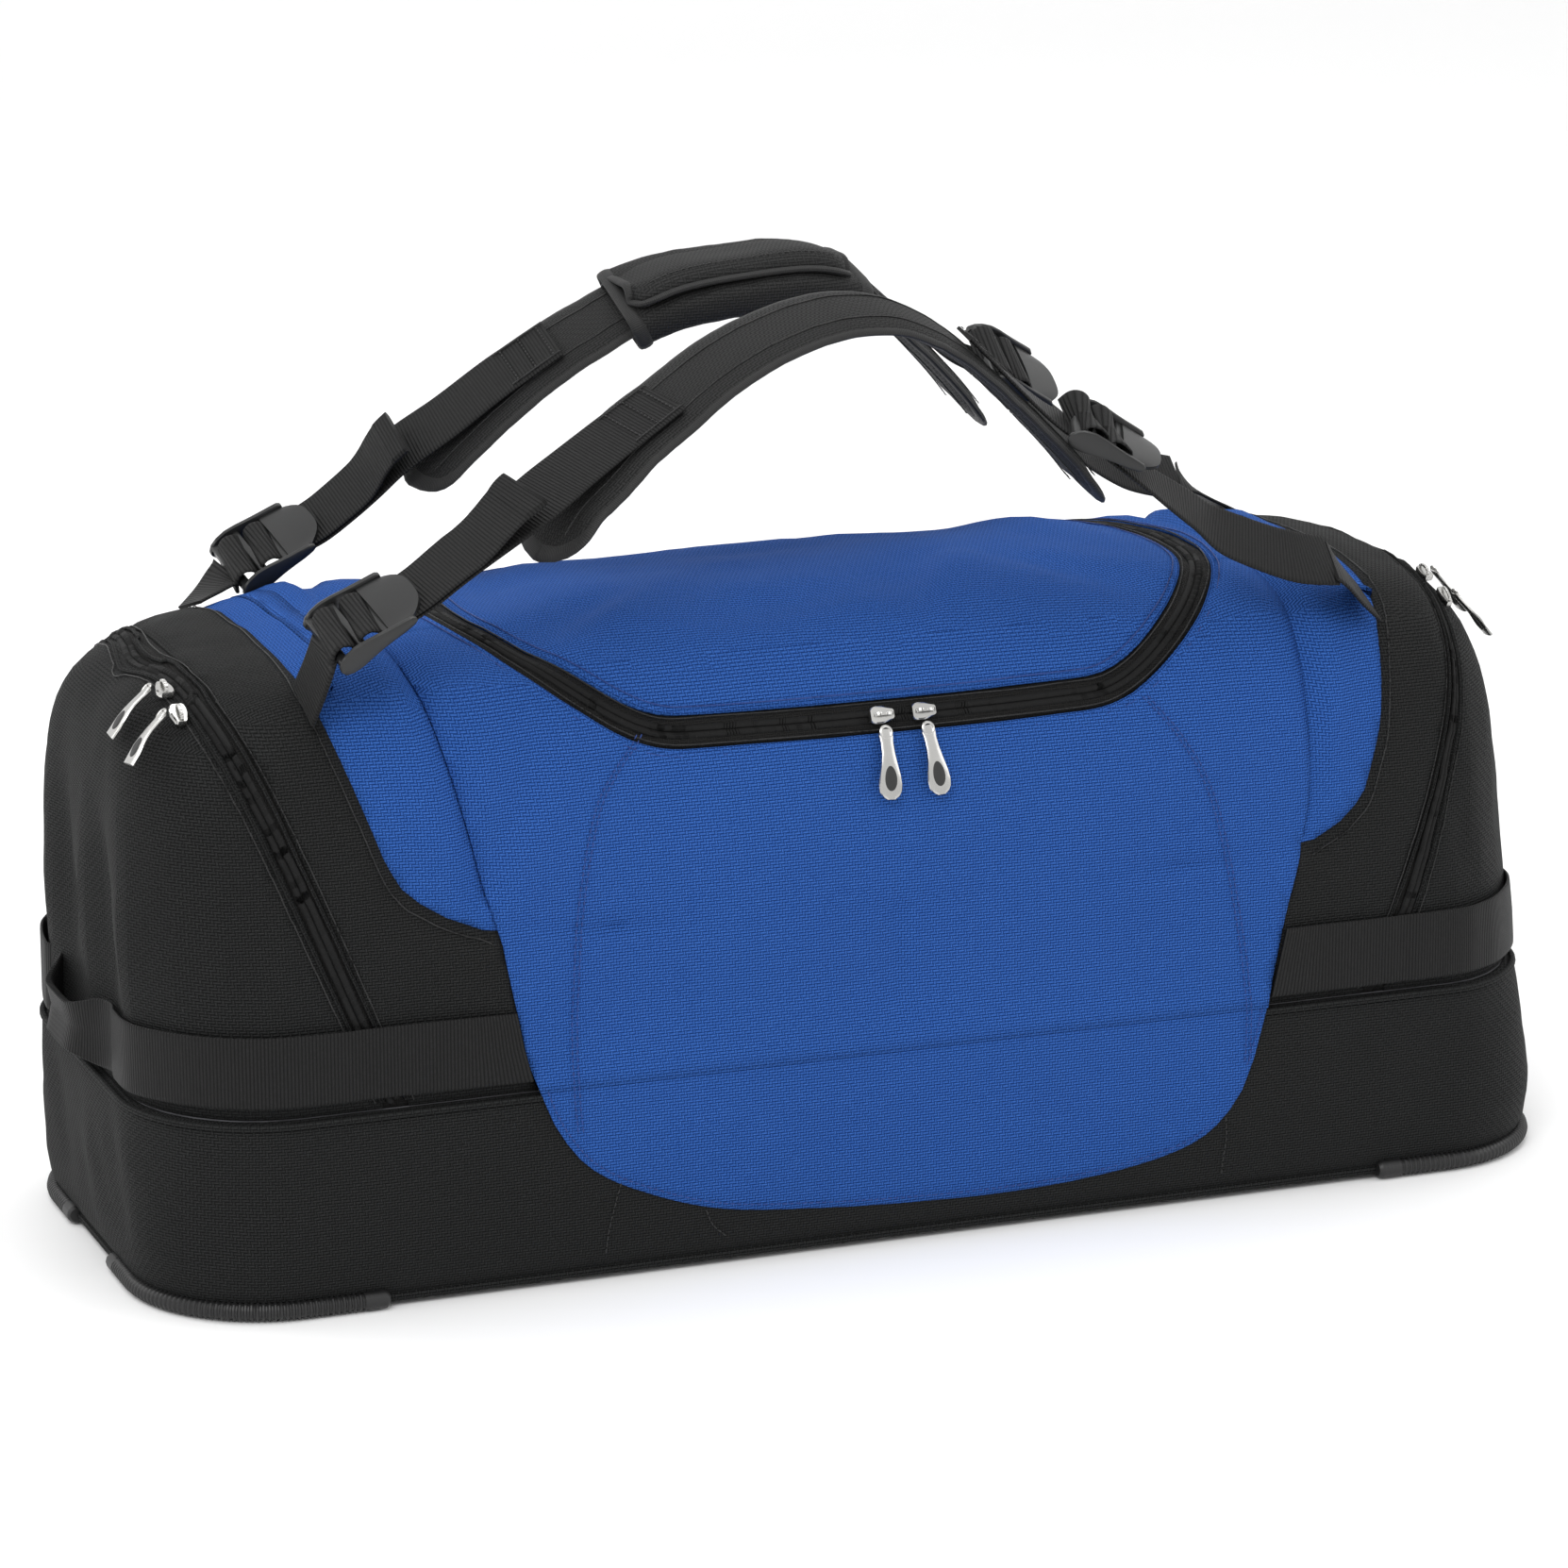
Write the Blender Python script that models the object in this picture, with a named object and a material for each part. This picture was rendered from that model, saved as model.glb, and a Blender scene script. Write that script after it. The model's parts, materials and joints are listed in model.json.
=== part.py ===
# Large two-compartment sports duffel: boxy base tub, domed main compartment with a zipped
# lid, zipped end doors, a webbing band with end grab handles and two padded carrying straps.
# Metres, +Z up.  X is the length, -Y the front, origin at the bottom centre of the footprint.
import bpy, bmesh, math
from mathutils import Vector, Matrix

# ---------------------------------------------------------------- driving dimensions
HALF_L = 0.410          # half length of the base
HALF_D = 0.153          # half depth of the base
CORNER_R = 0.079        # plan corner radius
SEAM_Z = 0.1065         # top rim of the base tub
WALL = 0.0030           # fabric, padding and binding together
DOME_Z0 = 0.1090        # lower rim of the main compartment
CROWN_Z = 0.3430        # highest point of the main compartment
DOME_A = 0.4040         # half length of the main compartment
DOME_B = 0.1470         # half depth of the main compartment
END_DROP = 0.0120       # how much the crown falls towards the ends
SHOULDER_DROP = 0.0250  # how much the long shoulders slump at mid length
GUSSET_X = 0.3100       # seam between centre shell and end gussets
WEB_W = 0.038           # webbing width
WEB_T = 0.0018          # webbing thickness
PAD_W = 0.054           # padded strap width
PAD_T = 0.0090          # padded strap thickness
BAND_Z = 0.134          # middle of the webbing band
LID_X, LID_Y0, LID_Y1, LID_R = 0.2150, -0.1270, 0.0965, 0.098
TAPE_W = 0.0120         # one side of the zip tape
GAP = 0.0004            # clearance between touching pieces
PIVOT_FRONT = (-0.122, 0.368)    # y, z of the front strap's swing axis
PIVOT_REAR = (0.105, 0.368)
HANDLE_OUT = 0.012      # how far the end grab handle stands off
DOOR_HINGE = (0.4052, 0.1575)    # |x|, z
LEAN_X0, LEAN_X1 = 0.300, 0.400  # the filled right end slumps inwards: none before X0, all of it after X1
LEAN = [(0.040, 0.0), (0.077, 0.0065), (0.107, 0.0125), (0.134, 0.0145), (0.157, 0.0175),
        (0.195, 0.0215), (0.250, 0.0250), (0.290, 0.0290), (0.305, 0.0300)]  # height, inward shift

def lean(x, z):
    """Length coordinate after the right end's inward slump at height z."""
    if x <= LEAN_X0:
        return x
    d = LEAN[0][1] if z <= LEAN[0][0] else LEAN[-1][1]
    for (za, da), (zb, db) in zip(LEAN, LEAN[1:]):
        if za < z <= zb:
            d = da + (db - da) * (z - za) / (zb - za)
    t = min(1.0, (x - LEAN_X0) / (LEAN_X1 - LEAN_X0))
    return x - d * t * t * (3 - 2 * t)

for o in list(bpy.data.objects):
    bpy.data.objects.remove(o, do_unlink=True)
col = bpy.context.scene.collection

MATS = {}
def mat(name, rgb, rough, metal=0.0):
    if name not in MATS:
        m = bpy.data.materials.new(name)
        m.use_nodes = True
        b = m.node_tree.nodes["Principled BSDF"]
        b.inputs["Base Color"].default_value = (*rgb, 1)
        b.inputs["Roughness"].default_value = rough
        b.inputs["Metallic"].default_value = metal
        m.diffuse_color = (*rgb, 1)
        MATS[name] = m
    return MATS[name]
BLUE = ("blue_fabric", (0.020, 0.075, 0.38), 0.75)
BLACK = ("black_fabric", (0.012, 0.013, 0.013), 0.80)
WEB = ("black_webbing", (0.014, 0.014, 0.015), 0.70)
PLAST = ("black_plastic", (0.010, 0.010, 0.011), 0.35)
TAPE = ("zip_tape", (0.020, 0.020, 0.019), 0.85)
METAL = ("silver_metal", (0.62, 0.61, 0.58), 0.28, 1.0)
LINER = ("grey_liner", (0.10, 0.10, 0.11), 0.85)

def new_obj(name, bm, m, parent=None):
    for v in bm.verts:
        v.co.x = lean(v.co.x, v.co.z)
    bmesh.ops.recalc_face_normals(bm, faces=bm.faces)
    if bm.calc_volume(signed=True) < 0:
        bmesh.ops.reverse_faces(bm, faces=bm.faces)
    me = bpy.data.meshes.new(name)
    bm.to_mesh(me)
    bm.free()
    o = bpy.data.objects.new(name, me)
    col.objects.link(o)
    if m:
        me.materials.append(mat(*m))
    if parent:
        o.parent = parent
        o.matrix_parent_inverse = Matrix.Translation(parent.location).inverted()
    return o

def empty(name, loc):
    e = bpy.data.objects.new(name, None)
    e.location = (lean(loc[0], loc[2]), loc[1], loc[2])
    col.objects.link(e)
    return e

def cutter(o):
    o.hide_render = True
    o.display_type = 'WIRE'
    return o

def boolean(o, c, op):
    md = o.modifiers.new(op.lower() + "_" + c.name, 'BOOLEAN')
    md.operation = op
    md.object = c
    md.solver = 'EXACT'

# ---------------------------------------------------------------- shape functions
def rounded_rect(a, b, r, n=8, m=6, k=3):
    """Outline of a rounded rectangle: n steps in a corner, m along a long side, k along an end."""
    r = min(r, 0.98 * b, 0.98 * a)
    pts = []
    cs = [(a - r, b - r, 0), (-(a - r), b - r, 90), (-(a - r), -(b - r), 180), (a - r, -(b - r), 270)]
    for i, (cx, cy, a0) in enumerate(cs):
        for j in range(n + 1):
            t = math.radians(a0 + 90.0 * j / n)
            pts.append((cx + r * math.cos(t), cy + r * math.sin(t)))
        nx, ny, na = cs[(i + 1) % 4]
        e = (nx + r * math.cos(math.radians(na)), ny + r * math.sin(math.radians(na)))
        s = pts[-1]
        steps = m if i % 2 == 0 else k
        for j in range(1, steps):
            pts.append((s[0] + (e[0] - s[0]) * j / steps, s[1] + (e[1] - s[1]) * j / steps))
    return pts

def dome_half(z, inset=0.0):
    """Half length and half depth of the main compartment at height z, before it sags."""
    h = CROWN_Z - DOME_Z0 - inset
    t = max(0.0, min(1.0, (z - DOME_Z0) / h))
    b = (DOME_B - inset) * max(0.0, 1 - t ** 4.0) ** (1 / 4.0)
    a = (DOME_A - inset) * max(0.0, 1 - t ** 10.0) ** (1 / 10.0)
    return a, b

def sag(x, y, z):
    """Height lost where the crown falls to the ends and the long shoulders slump."""
    tz = (z - DOME_Z0) / (CROWN_Z - DOME_Z0)
    ends = END_DROP * (min(abs(x), 0.41) / 0.4) ** 2 * tz
    q = min(1.0, abs(y) / DOME_B)
    c = math.cos(math.pi / 2 * min(1.0, abs(x) / 0.40))
    return ends + SHOULDER_DROP * c * c * q ** 3 * tz

def side_y(z, inset=0.0):
    return dome_half(z, inset)[1]

def inside_ring(x, y, z):
    a, b = dome_half(z)
    r = min(CORNER_R - 0.004, 0.98 * b)
    dx, dy = abs(x) - (a - r), abs(y) - (b - r)
    if dx <= 0 or dy <= 0:
        return abs(x) <= a and abs(y) <= b
    return dx * dx + dy * dy <= r * r

def top_z(x, y):
    """Height of the main compartment's outer surface over (x, y)."""
    lo, hi = DOME_Z0, CROWN_Z
    for _ in range(40):
        m = 0.5 * (lo + hi)
        lo, hi = (m, hi) if inside_ring(x, y, m) else (lo, m)
    return lo - sag(x, y, lo)

def face_y(x, z):
    """Depth |y| of the main compartment's outer surface at (x, z) on its long faces."""
    lo, hi = 0.03, DOME_B
    if top_z(x, hi - 1e-5) >= z:
        return hi
    for _ in range(40):
        m = 0.5 * (lo + hi)
        lo, hi = (m, hi) if top_z(x, m) >= z else (lo, m)
    return lo

def loft(bm, rings, cap0=True, cap1=True):
    vs = [[bm.verts.new(p) for p in r] for r in rings]
    n = len(rings[0])
    for a, b in zip(vs, vs[1:]):
        for i in range(n):
            bm.faces.new((a[i], a[(i + 1) % n], b[(i + 1) % n], b[i]))
    if cap0:
        bm.faces.new(list(reversed(vs[0])))
    if cap1:
        bm.faces.new(vs[-1])
    return vs

def dome_levels(inset):
    h = CROWN_Z - DOME_Z0 - inset
    zs = [DOME_Z0, DOME_Z0 + .05, DOME_Z0 + .10, DOME_Z0 + .135]
    out = [z for z in zs]
    for i in range(1, 12):
        th = math.radians(38 + 51.5 * i / 11)
        out.append(DOME_Z0 + h * math.sin(th) ** 0.50)
    return out

def dome_mesh(name, thick):
    bm = bmesh.new()
    def rings(inset):
        R = []
        for z in dome_levels(inset):
            a, b = dome_half(z, inset)
            b = max(b, 0.006)
            r = min(CORNER_R - 0.004 - inset, 0.98 * b)
            R.append([Vector((x, y, z - sag(x, y, z))) for x, y in rounded_rect(a, b, r)])
        return R
    ro, ri = rings(0.0), rings(thick)
    vo = loft(bm, ro, cap0=False)
    vi = loft(bm, ri, cap0=False)
    n = len(ro[0])
    for i in range(n):
        bm.faces.new((vo[0][i], vi[0][i], vi[0][(i + 1) % n], vo[0][(i + 1) % n]))
    bmesh.ops.triangulate(bm, faces=[f for f in bm.faces if len(f.verts) > 4])
    return bm

def prism_xy(name, pts, z0, z1):
    bm = bmesh.new()
    loft(bm, [[Vector((x, y, z0)) for x, y in pts], [Vector((x, y, z1)) for x, y in pts]])
    return cutter(new_obj(name, bm, None))

def prism_xz(name, pts, y0, y1):
    bm = bmesh.new()
    loft(bm, [[Vector((x, y0, z)) for x, z in pts], [Vector((x, y1, z)) for x, z in pts]])
    return cutter(new_obj(name, bm, None))

def lid_outline(grow):
    cy = 0.5 * (LID_Y0 + LID_Y1)
    hy = 0.5 * (LID_Y1 - LID_Y0)
    return [(x, y + cy) for x, y in rounded_rect(LID_X + grow, hy + grow, LID_R + grow, 8, 6, 2)]

# ---------------------------------------------------------------- base compartment
def base_ring(inset, z, n=8):
    return [Vector((x, y, z)) for x, y in rounded_rect(HALF_L - inset, HALF_D - inset, CORNER_R - inset, n)]

bm = bmesh.new()
outer = [(0.0165, 0.0024), (0.0065, 0.0124), (0.0020, 0.030), (0.0, 0.060), (0.0008, SEAM_Z)]
vo = loft(bm, [base_ring(i, z) for i, z in outer], cap1=False)
inner = [(0.0185, 0.0054), (0.0100, 0.0140), (0.0052, 0.030), (0.0030, 0.060), (0.0038, SEAM_Z)]
vi = loft(bm, [base_ring(i, z) for i, z in inner], cap1=False)
n = len(vo[0])
for i in range(n):
    bm.faces.new((vo[-1][i], vi[-1][i], vi[-1][(i + 1) % n], vo[-1][(i + 1) % n]))
new_obj("base_tub", bm, BLACK)

bm = bmesh.new()
loft(bm, [base_ring(0.024, 0.0058, 5), base_ring(0.024, 0.0083, 5)])
new_obj("base_board", bm, LINER)

def tube(name, pts, r, sides, m, parent=None):
    bm = bmesh.new()
    rings = []
    for i, p in enumerate(pts):
        a = pts[max(0, i - 1)]
        b = pts[min(len(pts) - 1, i + 1)]
        t = (b - a).normalized()
        u = t.cross(Vector((0, 0, 1))).normalized()
        w = u.cross(t).normalized()
        rings.append([p + r * (math.cos(2 * math.pi * j / sides) * u + math.sin(2 * math.pi * j / sides) * w) for j in range(sides)])
    loft(bm, rings)
    return new_obj(name, bm, m, parent)

# piping along the bottom edge between the corner guards, and the moulded guards themselves
GUARD_ARM = 0.045       # straight length of a guard beyond its corner
def edge_path(inset, z, corner, arm, n=9):
    sx, sy = corner
    r = CORNER_R - inset
    cx, cy = HALF_L - inset - r, HALF_D - inset - r
    pts = [Vector((sx * (cx - arm), sy * (cy + r), z)), Vector((sx * (cx - arm * .3), sy * (cy + r), z))]
    for j in range(n + 1):
        t = math.pi / 2 * (1 - j / n)
        pts.append(Vector((sx * (cx + r * math.cos(t)), sy * (cy + r * math.sin(t)), z)))
    pts.append(Vector((sx * (cx + r), sy * (cy - min(arm, cy * .5)), z)))
    return pts
for nm, c in (("front_left", (-1, -1)), ("front_right", (1, -1)), ("rear_left", (-1, 1)), ("rear_right", (1, 1))):
    tube("corner_guard_" + nm, edge_path(0.0050, 0.0052, c, GUARD_ARM), 0.0052, 8, PLAST)
PI = 0.0080
xs = HALF_L - CORNER_R - GUARD_ARM - .001
for nm, sy in (("front", -1), ("rear", 1)):
    tube("base_piping_" + nm, [Vector((xs * t, sy * (HALF_D - PI), 0.0048)) for t in (-1, -.5, 0, .5, 1)], 0.0036, 8, BLACK)
ye = HALF_D - CORNER_R - min(GUARD_ARM, (HALF_D - CORNER_R) * .5) - .0012
for nm, sx in (("left", -1), ("right", 1)):
    tube("base_piping_" + nm, [Vector((sx * (HALF_L - PI), ye * t, 0.0048)) for t in (-1, 0, 1)], 0.0036, 8, BLACK)

# inner floor between the two compartments, with its lift-up flap
FLAP_X, FLAP_Y = 0.320, 0.108
bm = bmesh.new()
ro = [Vector((x, y, 0)) for x, y in rounded_rect(HALF_L - .006, HALF_D - .006, CORNER_R - .006, 6)]
ri = [Vector((x, y, 0)) for x, y in rounded_rect(FLAP_X + .002, FLAP_Y + .002, .03, 6)]
Z0, Z1 = SEAM_Z + GAP, DOME_Z0 - GAP
vo = [[bm.verts.new((p.x, p.y, z)) for p in ro] for z in (Z0, Z1)]
vi = [[bm.verts.new((p.x, p.y, z)) for p in ri] for z in (Z0, Z1)]
n = len(ro)
for i in range(n):
    j = (i + 1) % n
    bm.faces.new((vo[0][i], vo[0][j], vo[1][j], vo[1][i]))
    bm.faces.new((vi[0][i], vi[1][i], vi[1][j], vi[0][j]))
    bm.faces.new((vo[1][i], vo[1][j], vi[1][j], vi[1][i]))
    bm.faces.new((vo[0][i], vi[0][i], vi[0][j], vo[0][j]))
new_obj("divider_floor", bm, LINER)
e = empty("divider_axis", (0, FLAP_Y + .001, Z1 + .0002))
bm = bmesh.new()
loft(bm, [[Vector((x, y, z)) for x, y in rounded_rect(FLAP_X, FLAP_Y, .03, 6)] for z in (Z0, Z1)])
new_obj("divider_flap", bm, LINER, e)

# ---------------------------------------------------------------- main compartment
body_cut = prism_xy("cut_body", lid_outline(TAPE_W + GAP), 0.222, 0.40)
tape_out = prism_xy("cut_tape_outer", lid_outline(TAPE_W), 0.222, 0.40)
tape_in = prism_xy("cut_tape_inner", lid_outline(GAP), 0.212, 0.41)
lidtape_out = prism_xy("cut_lid_tape", lid_outline(-GAP - .0012), 0.222, 0.40)
lid_in = prism_xy("cut_lid_tape_in", lid_outline(-TAPE_W), 0.212, 0.41)
lid_cut = prism_xy("cut_lid", lid_outline(-TAPE_W - GAP), 0.222, 0.40)

def slab(name, x0, x1):
    return prism_xz(name, [(x0, .05), (x1, .05), (x1, .42), (x0, .42)], -.2, .2)

centre = new_obj("centre_shell", dome_mesh("centre", WALL), BLUE)
boolean(centre, slab("cut_centre", -GUSSET_X, GUSSET_X), 'INTERSECT')
boolean(centre, body_cut, 'DIFFERENCE')

t = new_obj("lid_zip_tape_body_side", dome_mesh("tape", WALL), TAPE)
boolean(t, tape_out, 'INTERSECT')
boolean(t, tape_in, 'DIFFERENCE')

lid_z = top_z(0, LID_Y1) + 0.0010
lid_axis = empty("lid_axis", (0, LID_Y1, lid_z))
t = new_obj("lid_zip_tape_lid_side", dome_mesh("tape2", WALL), TAPE, lid_axis)
boolean(t, lidtape_out, 'INTERSECT')
boolean(t, lid_in, 'DIFFERENCE')
t = new_obj("lid_panel", dome_mesh("lid", WALL), BLUE, lid_axis)
boolean(t, lid_cut, 'INTERSECT')

def door_line(z):
    """|x| of the end zip at height z, on the front and rear faces and over the top."""
    return 0.285 + 0.387 * (z - 0.12)
def door_poly(sx, g):
    pts = [(0.60, 0.1580 - g), (0.374, 0.1580 - g), (door_line(0.196) - 2.2 * g, 0.196 - 2 * g),
           (door_line(0.345) - g, 0.345), (door_line(0.345) - g, 0.42), (0.60, 0.42)]
    return [(sx * x, z) for x, z in pts]
for side, sx in (("left", -1), ("right", 1)):
    g = new_obj("gusset_" + side, dome_mesh("g", WALL), BLACK)
    boolean(g, slab("cut_gusset_" + side, min(sx * (GUSSET_X + GAP), sx * .6), max(sx * (GUSSET_X + GAP), sx * .6)), 'INTERSECT')
    boolean(g, prism_xz("cut_door_hole_" + side, door_poly(sx, 0.0015), -.25, .25), 'DIFFERENCE')
    ax = empty("door_axis_" + side, (sx * DOOR_HINGE[0], 0, DOOR_HINGE[1]))
    d = new_obj("end_door_" + side, dome_mesh("d", WALL), BLACK, ax)
    boolean(d, prism_xz("cut_door_" + side, door_poly(sx, -0.0010), -.25, .25), 'INTERSECT')

# outer front panel: a shaped cover from the lid zip down to the base edge
def overlay_x(z):
    """Left and right edge of the front cover at height z."""
    knots = [(0.024, -0.095, 0.085), (0.035, -0.125, 0.150), (0.060, -0.163, 0.192), (0.10, -0.188, 0.210),
             (0.16, -0.212, 0.227), (0.22, -0.232, 0.243), (0.262, -0.244, 0.246)]
    for (za, la, ra), (zb, lb, rb) in zip(knots, knots[1:]):
        if z <= zb + 1e-9:
            f = (z - za) / (zb - za)
            return la + f * (lb - la), ra + f * (rb - ra)
    return knots[-1][1:]
bm = bmesh.new()
rows = [0.024, 0.030, 0.040, 0.060, 0.085, 0.110, 0.123, 0.147, 0.175, 0.1985, 0.217, 0.231, 0.2423, 0.2510, 0.2575]
COLS = 8
def ov(z, off):
    l, r = overlay_x(z)
    out = []
    for j in range(COLS + 1):
        x = l + (r - l) * j / COLS
        y = HALF_D + .0003 if z < .111 else face_y(x, z) + .0006 + .0054 * max(0, 1 - (z - .110) / .014)
        out.append(Vector((x, -y - off, z)))
    return out
ringsv = []
for z in rows:
    a, b = ov(z, 0.0006), ov(z, 0.0024)
    ringsv.append(a + list(reversed(b)))
loft(bm, ringsv)
new_obj("front_cover_panel", bm, BLUE)

# ---------------------------------------------------------------- flat strips and straps
def smooth(pts, per=4):
    """Catmull-Rom curve through the points."""
    P = [Vector(p) for p in pts]
    P = [2 * P[0] - P[1]] + P + [2 * P[-1] - P[-2]]
    out = []
    for i in range(1, len(P) - 2):
        for j in range(per):
            t = j / per
            a, b, c, d = P[i - 1], P[i], P[i + 1], P[i + 2]
            out.append(0.5 * ((2 * b) + (c - a) * t + (2 * a - 5 * b + 4 * c - d) * t * t + (3 * b - a - 3 * c + d) * t ** 3))
    out.append(P[-2])
    return out

def strip(name, pts, width_dir, w, t, m, parent=None, taper=None, edge=0.0):
    """Flat strip along pts; width_dir gives the width direction; edge rounds the long edges."""
    bm = bmesh.new()
    rings = []
    N = len(pts)
    for i, p in enumerate(pts):
        tan = (pts[min(N - 1, i + 1)] - pts[max(0, i - 1)]).normalized()
        wd = width_dir(i, p) if callable(width_dir) else Vector(width_dir)
        wd = (wd - tan * wd.dot(tan)).normalized()
        nn = tan.cross(wd).normalized()
        hw = 0.5 * w * (taper(i / (N - 1)) if taper else 1.0)
        ht = 0.5 * t
        if edge:
            sec = [(-hw, -ht * .35), (-hw + edge, -ht), (hw - edge, -ht), (hw, -ht * .35), (hw, ht * .35), (hw - edge, ht), (-hw + edge, ht), (-hw, ht * .35)]
        else:
            sec = [(-hw, -ht), (hw, -ht), (hw, ht), (-hw, ht)]
        rings.append([p + wd * a + nn * b for a, b in sec])
    loft(bm, rings)
    return new_obj(name, bm, m, parent)

# webbing band round each end, standing off in the middle as the end grab handle
def band_path(sx):
    off = 0.0016
    a, b = DOME_A + off, DOME_B + off
    r = CORNER_R - 0.004 + off
    pts = [Vector((sx * x, -b, BAND_Z)) for x in ((0.217, 0.27) if sx < 0 else (0.232, 0.28))]
    for j in range(9):
        t = math.pi / 2 * j / 8
        pts.append(Vector((sx * (a - r + r * math.sin(t)), -(b - r + r * math.cos(t)), BAND_Z)))
    for y in (-.052, -.040, -.022, 0, .022, .040, .052):
        k = 0.5 + 0.5 * math.cos(math.pi * min(1, max(0, (abs(y) - .022) / .030)))
        pts.append(Vector((sx * (a + HANDLE_OUT * k), y, BAND_Z)))
    for j in range(9):
        t = math.pi / 2 * (1 - j / 8)
        pts.append(Vector((sx * (a - r + r * math.sin(t)), b - r + r * math.cos(t), BAND_Z)))
    pts += [Vector((sx * x, b, BAND_Z)) for x in (0.27, 0.215)]
    return pts
for side, sx in (("left", -1), ("right", 1)):
    strip("webbing_band_" + side, band_path(sx), (0, 0, 1), WEB_W, WEB_T, WEB)

def strap_pt(front, x, y, z):
    return Vector((x, y, z))

STRAPS = {
    "front": dict(sy=-1, piv=PIVOT_FRONT,
                  pad=[(-.186, -.112, .388), (-.166, -.107, .413), (-.136, -.099, .4376), (-.108, -.092, .4548), (-.080, -.086, .4718),
                       (-.051, -.081, .4838), (-.0225, -.078, .4913), (.005, -.077, .4942), (.032, -.078, .4873), (.058, -.082, .4709),
                       (.083, -.088, .4472), (.108, -.097, .420), (.1300, -.105, .392)],
                  webl=[(-.2735, -.122, .3660), (-.2568, -.1215, .3740), (-.2362, -.1205, .3880), (-.2157, -.119, .4010), (-.1900, -.114, .4160), (-.1715, -.108, .4265), (-.1400, -.100, .4445)],
                  webr=[(.171, -.110, .3930), (.184, -.112, .3800), (.198, -.115, .3690), (.220, -.119, .3590), (.240, -.122, .3520), (.262, -.122, .3480)]),
    "rear": dict(sy=1, piv=PIVOT_REAR,
                 pad=[(-.190, .090, .388), (-.168, .085, .410), (-.138, .079, .437), (-.108, .073, .4582), (-.083, .067, .4732),
                      (-.057, .063, .4841), (-.019, .061, .4893), (.025, .061, .4906), (.054, .063, .4805), (.084, .068, .4567),
                      (.112, .074, .4294), (.138, .082, .400)],
                 webl=[(-.2585, .105, .3550), (-.2420, .104, .3630), (-.2260, .101, .3755), (-.2120, .098, .3880), (-.197, .093, .4030), (-.1735, .086, .4190), (-.1420, .080, .4435)],
                 webr=[(.184, .093, .3990), (.198, .096, .3850), (.213, .099, .3730), (.235, .103, .3600), (.256, .105, .3520), (.276, .105, .3480)]),
}
def box_frame(name, c, tan, wd, length, width, thick, hole_l, hole_w, m, parent, bars=1):
    """Ladder-lock buckle: a flat frame with slots; the slots go right through its thickness."""
    tan = Vector(tan).normalized()
    wd = Vector(wd)
    wd = (wd - tan * wd.dot(tan)).normalized()
    nn = tan.cross(wd)
    xs = [-length / 2]
    bar = (length - bars * hole_l) / (bars + 1)
    for k in range(bars):
        xs += [xs[-1] + bar, xs[-1] + bar + hole_l]
    xs.append(length / 2)
    ys = [-width / 2, -hole_w / 2, hole_w / 2, width / 2]
    bm = bmesh.new()
    grid = {}
    def v(i, j, k):
        if (i, j, k) not in grid:
            # outer corners drawn in slightly, so the frame reads as moulded
            s = 0.92 if (i in (0, len(xs) - 1) and j in (0, 3)) else 1.0
            grid[(i, j, k)] = bm.verts.new(Vector(c) + tan * xs[i] * s + wd * ys[j] * s + nn * (thick / 2 if k else -thick / 2))
        return grid[(i, j, k)]
    solid = lambda i, j: 0 <= i < len(xs) - 1 and 0 <= j < 3 and not (j == 1 and i % 2 == 1)
    for i in range(len(xs) - 1):
        for j in range(3):
            if not solid(i, j):
                continue
            bm.faces.new((v(i, j, 1), v(i + 1, j, 1), v(i + 1, j + 1, 1), v(i, j + 1, 1)))
            bm.faces.new((v(i, j, 0), v(i, j + 1, 0), v(i + 1, j + 1, 0), v(i + 1, j, 0)))
            for (di, dj, e0, e1) in ((-1, 0, (i, j), (i, j + 1)), (1, 0, (i + 1, j + 1), (i + 1, j)), (0, -1, (i + 1, j), (i, j)), (0, 1, (i, j + 1), (i + 1, j + 1))):
                if not solid(i + di, j + dj):
                    bm.faces.new((v(*e0, 0), v(*e1, 0), v(*e1, 1), v(*e0, 1)))
    return new_obj(name, bm, m, parent)

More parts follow.
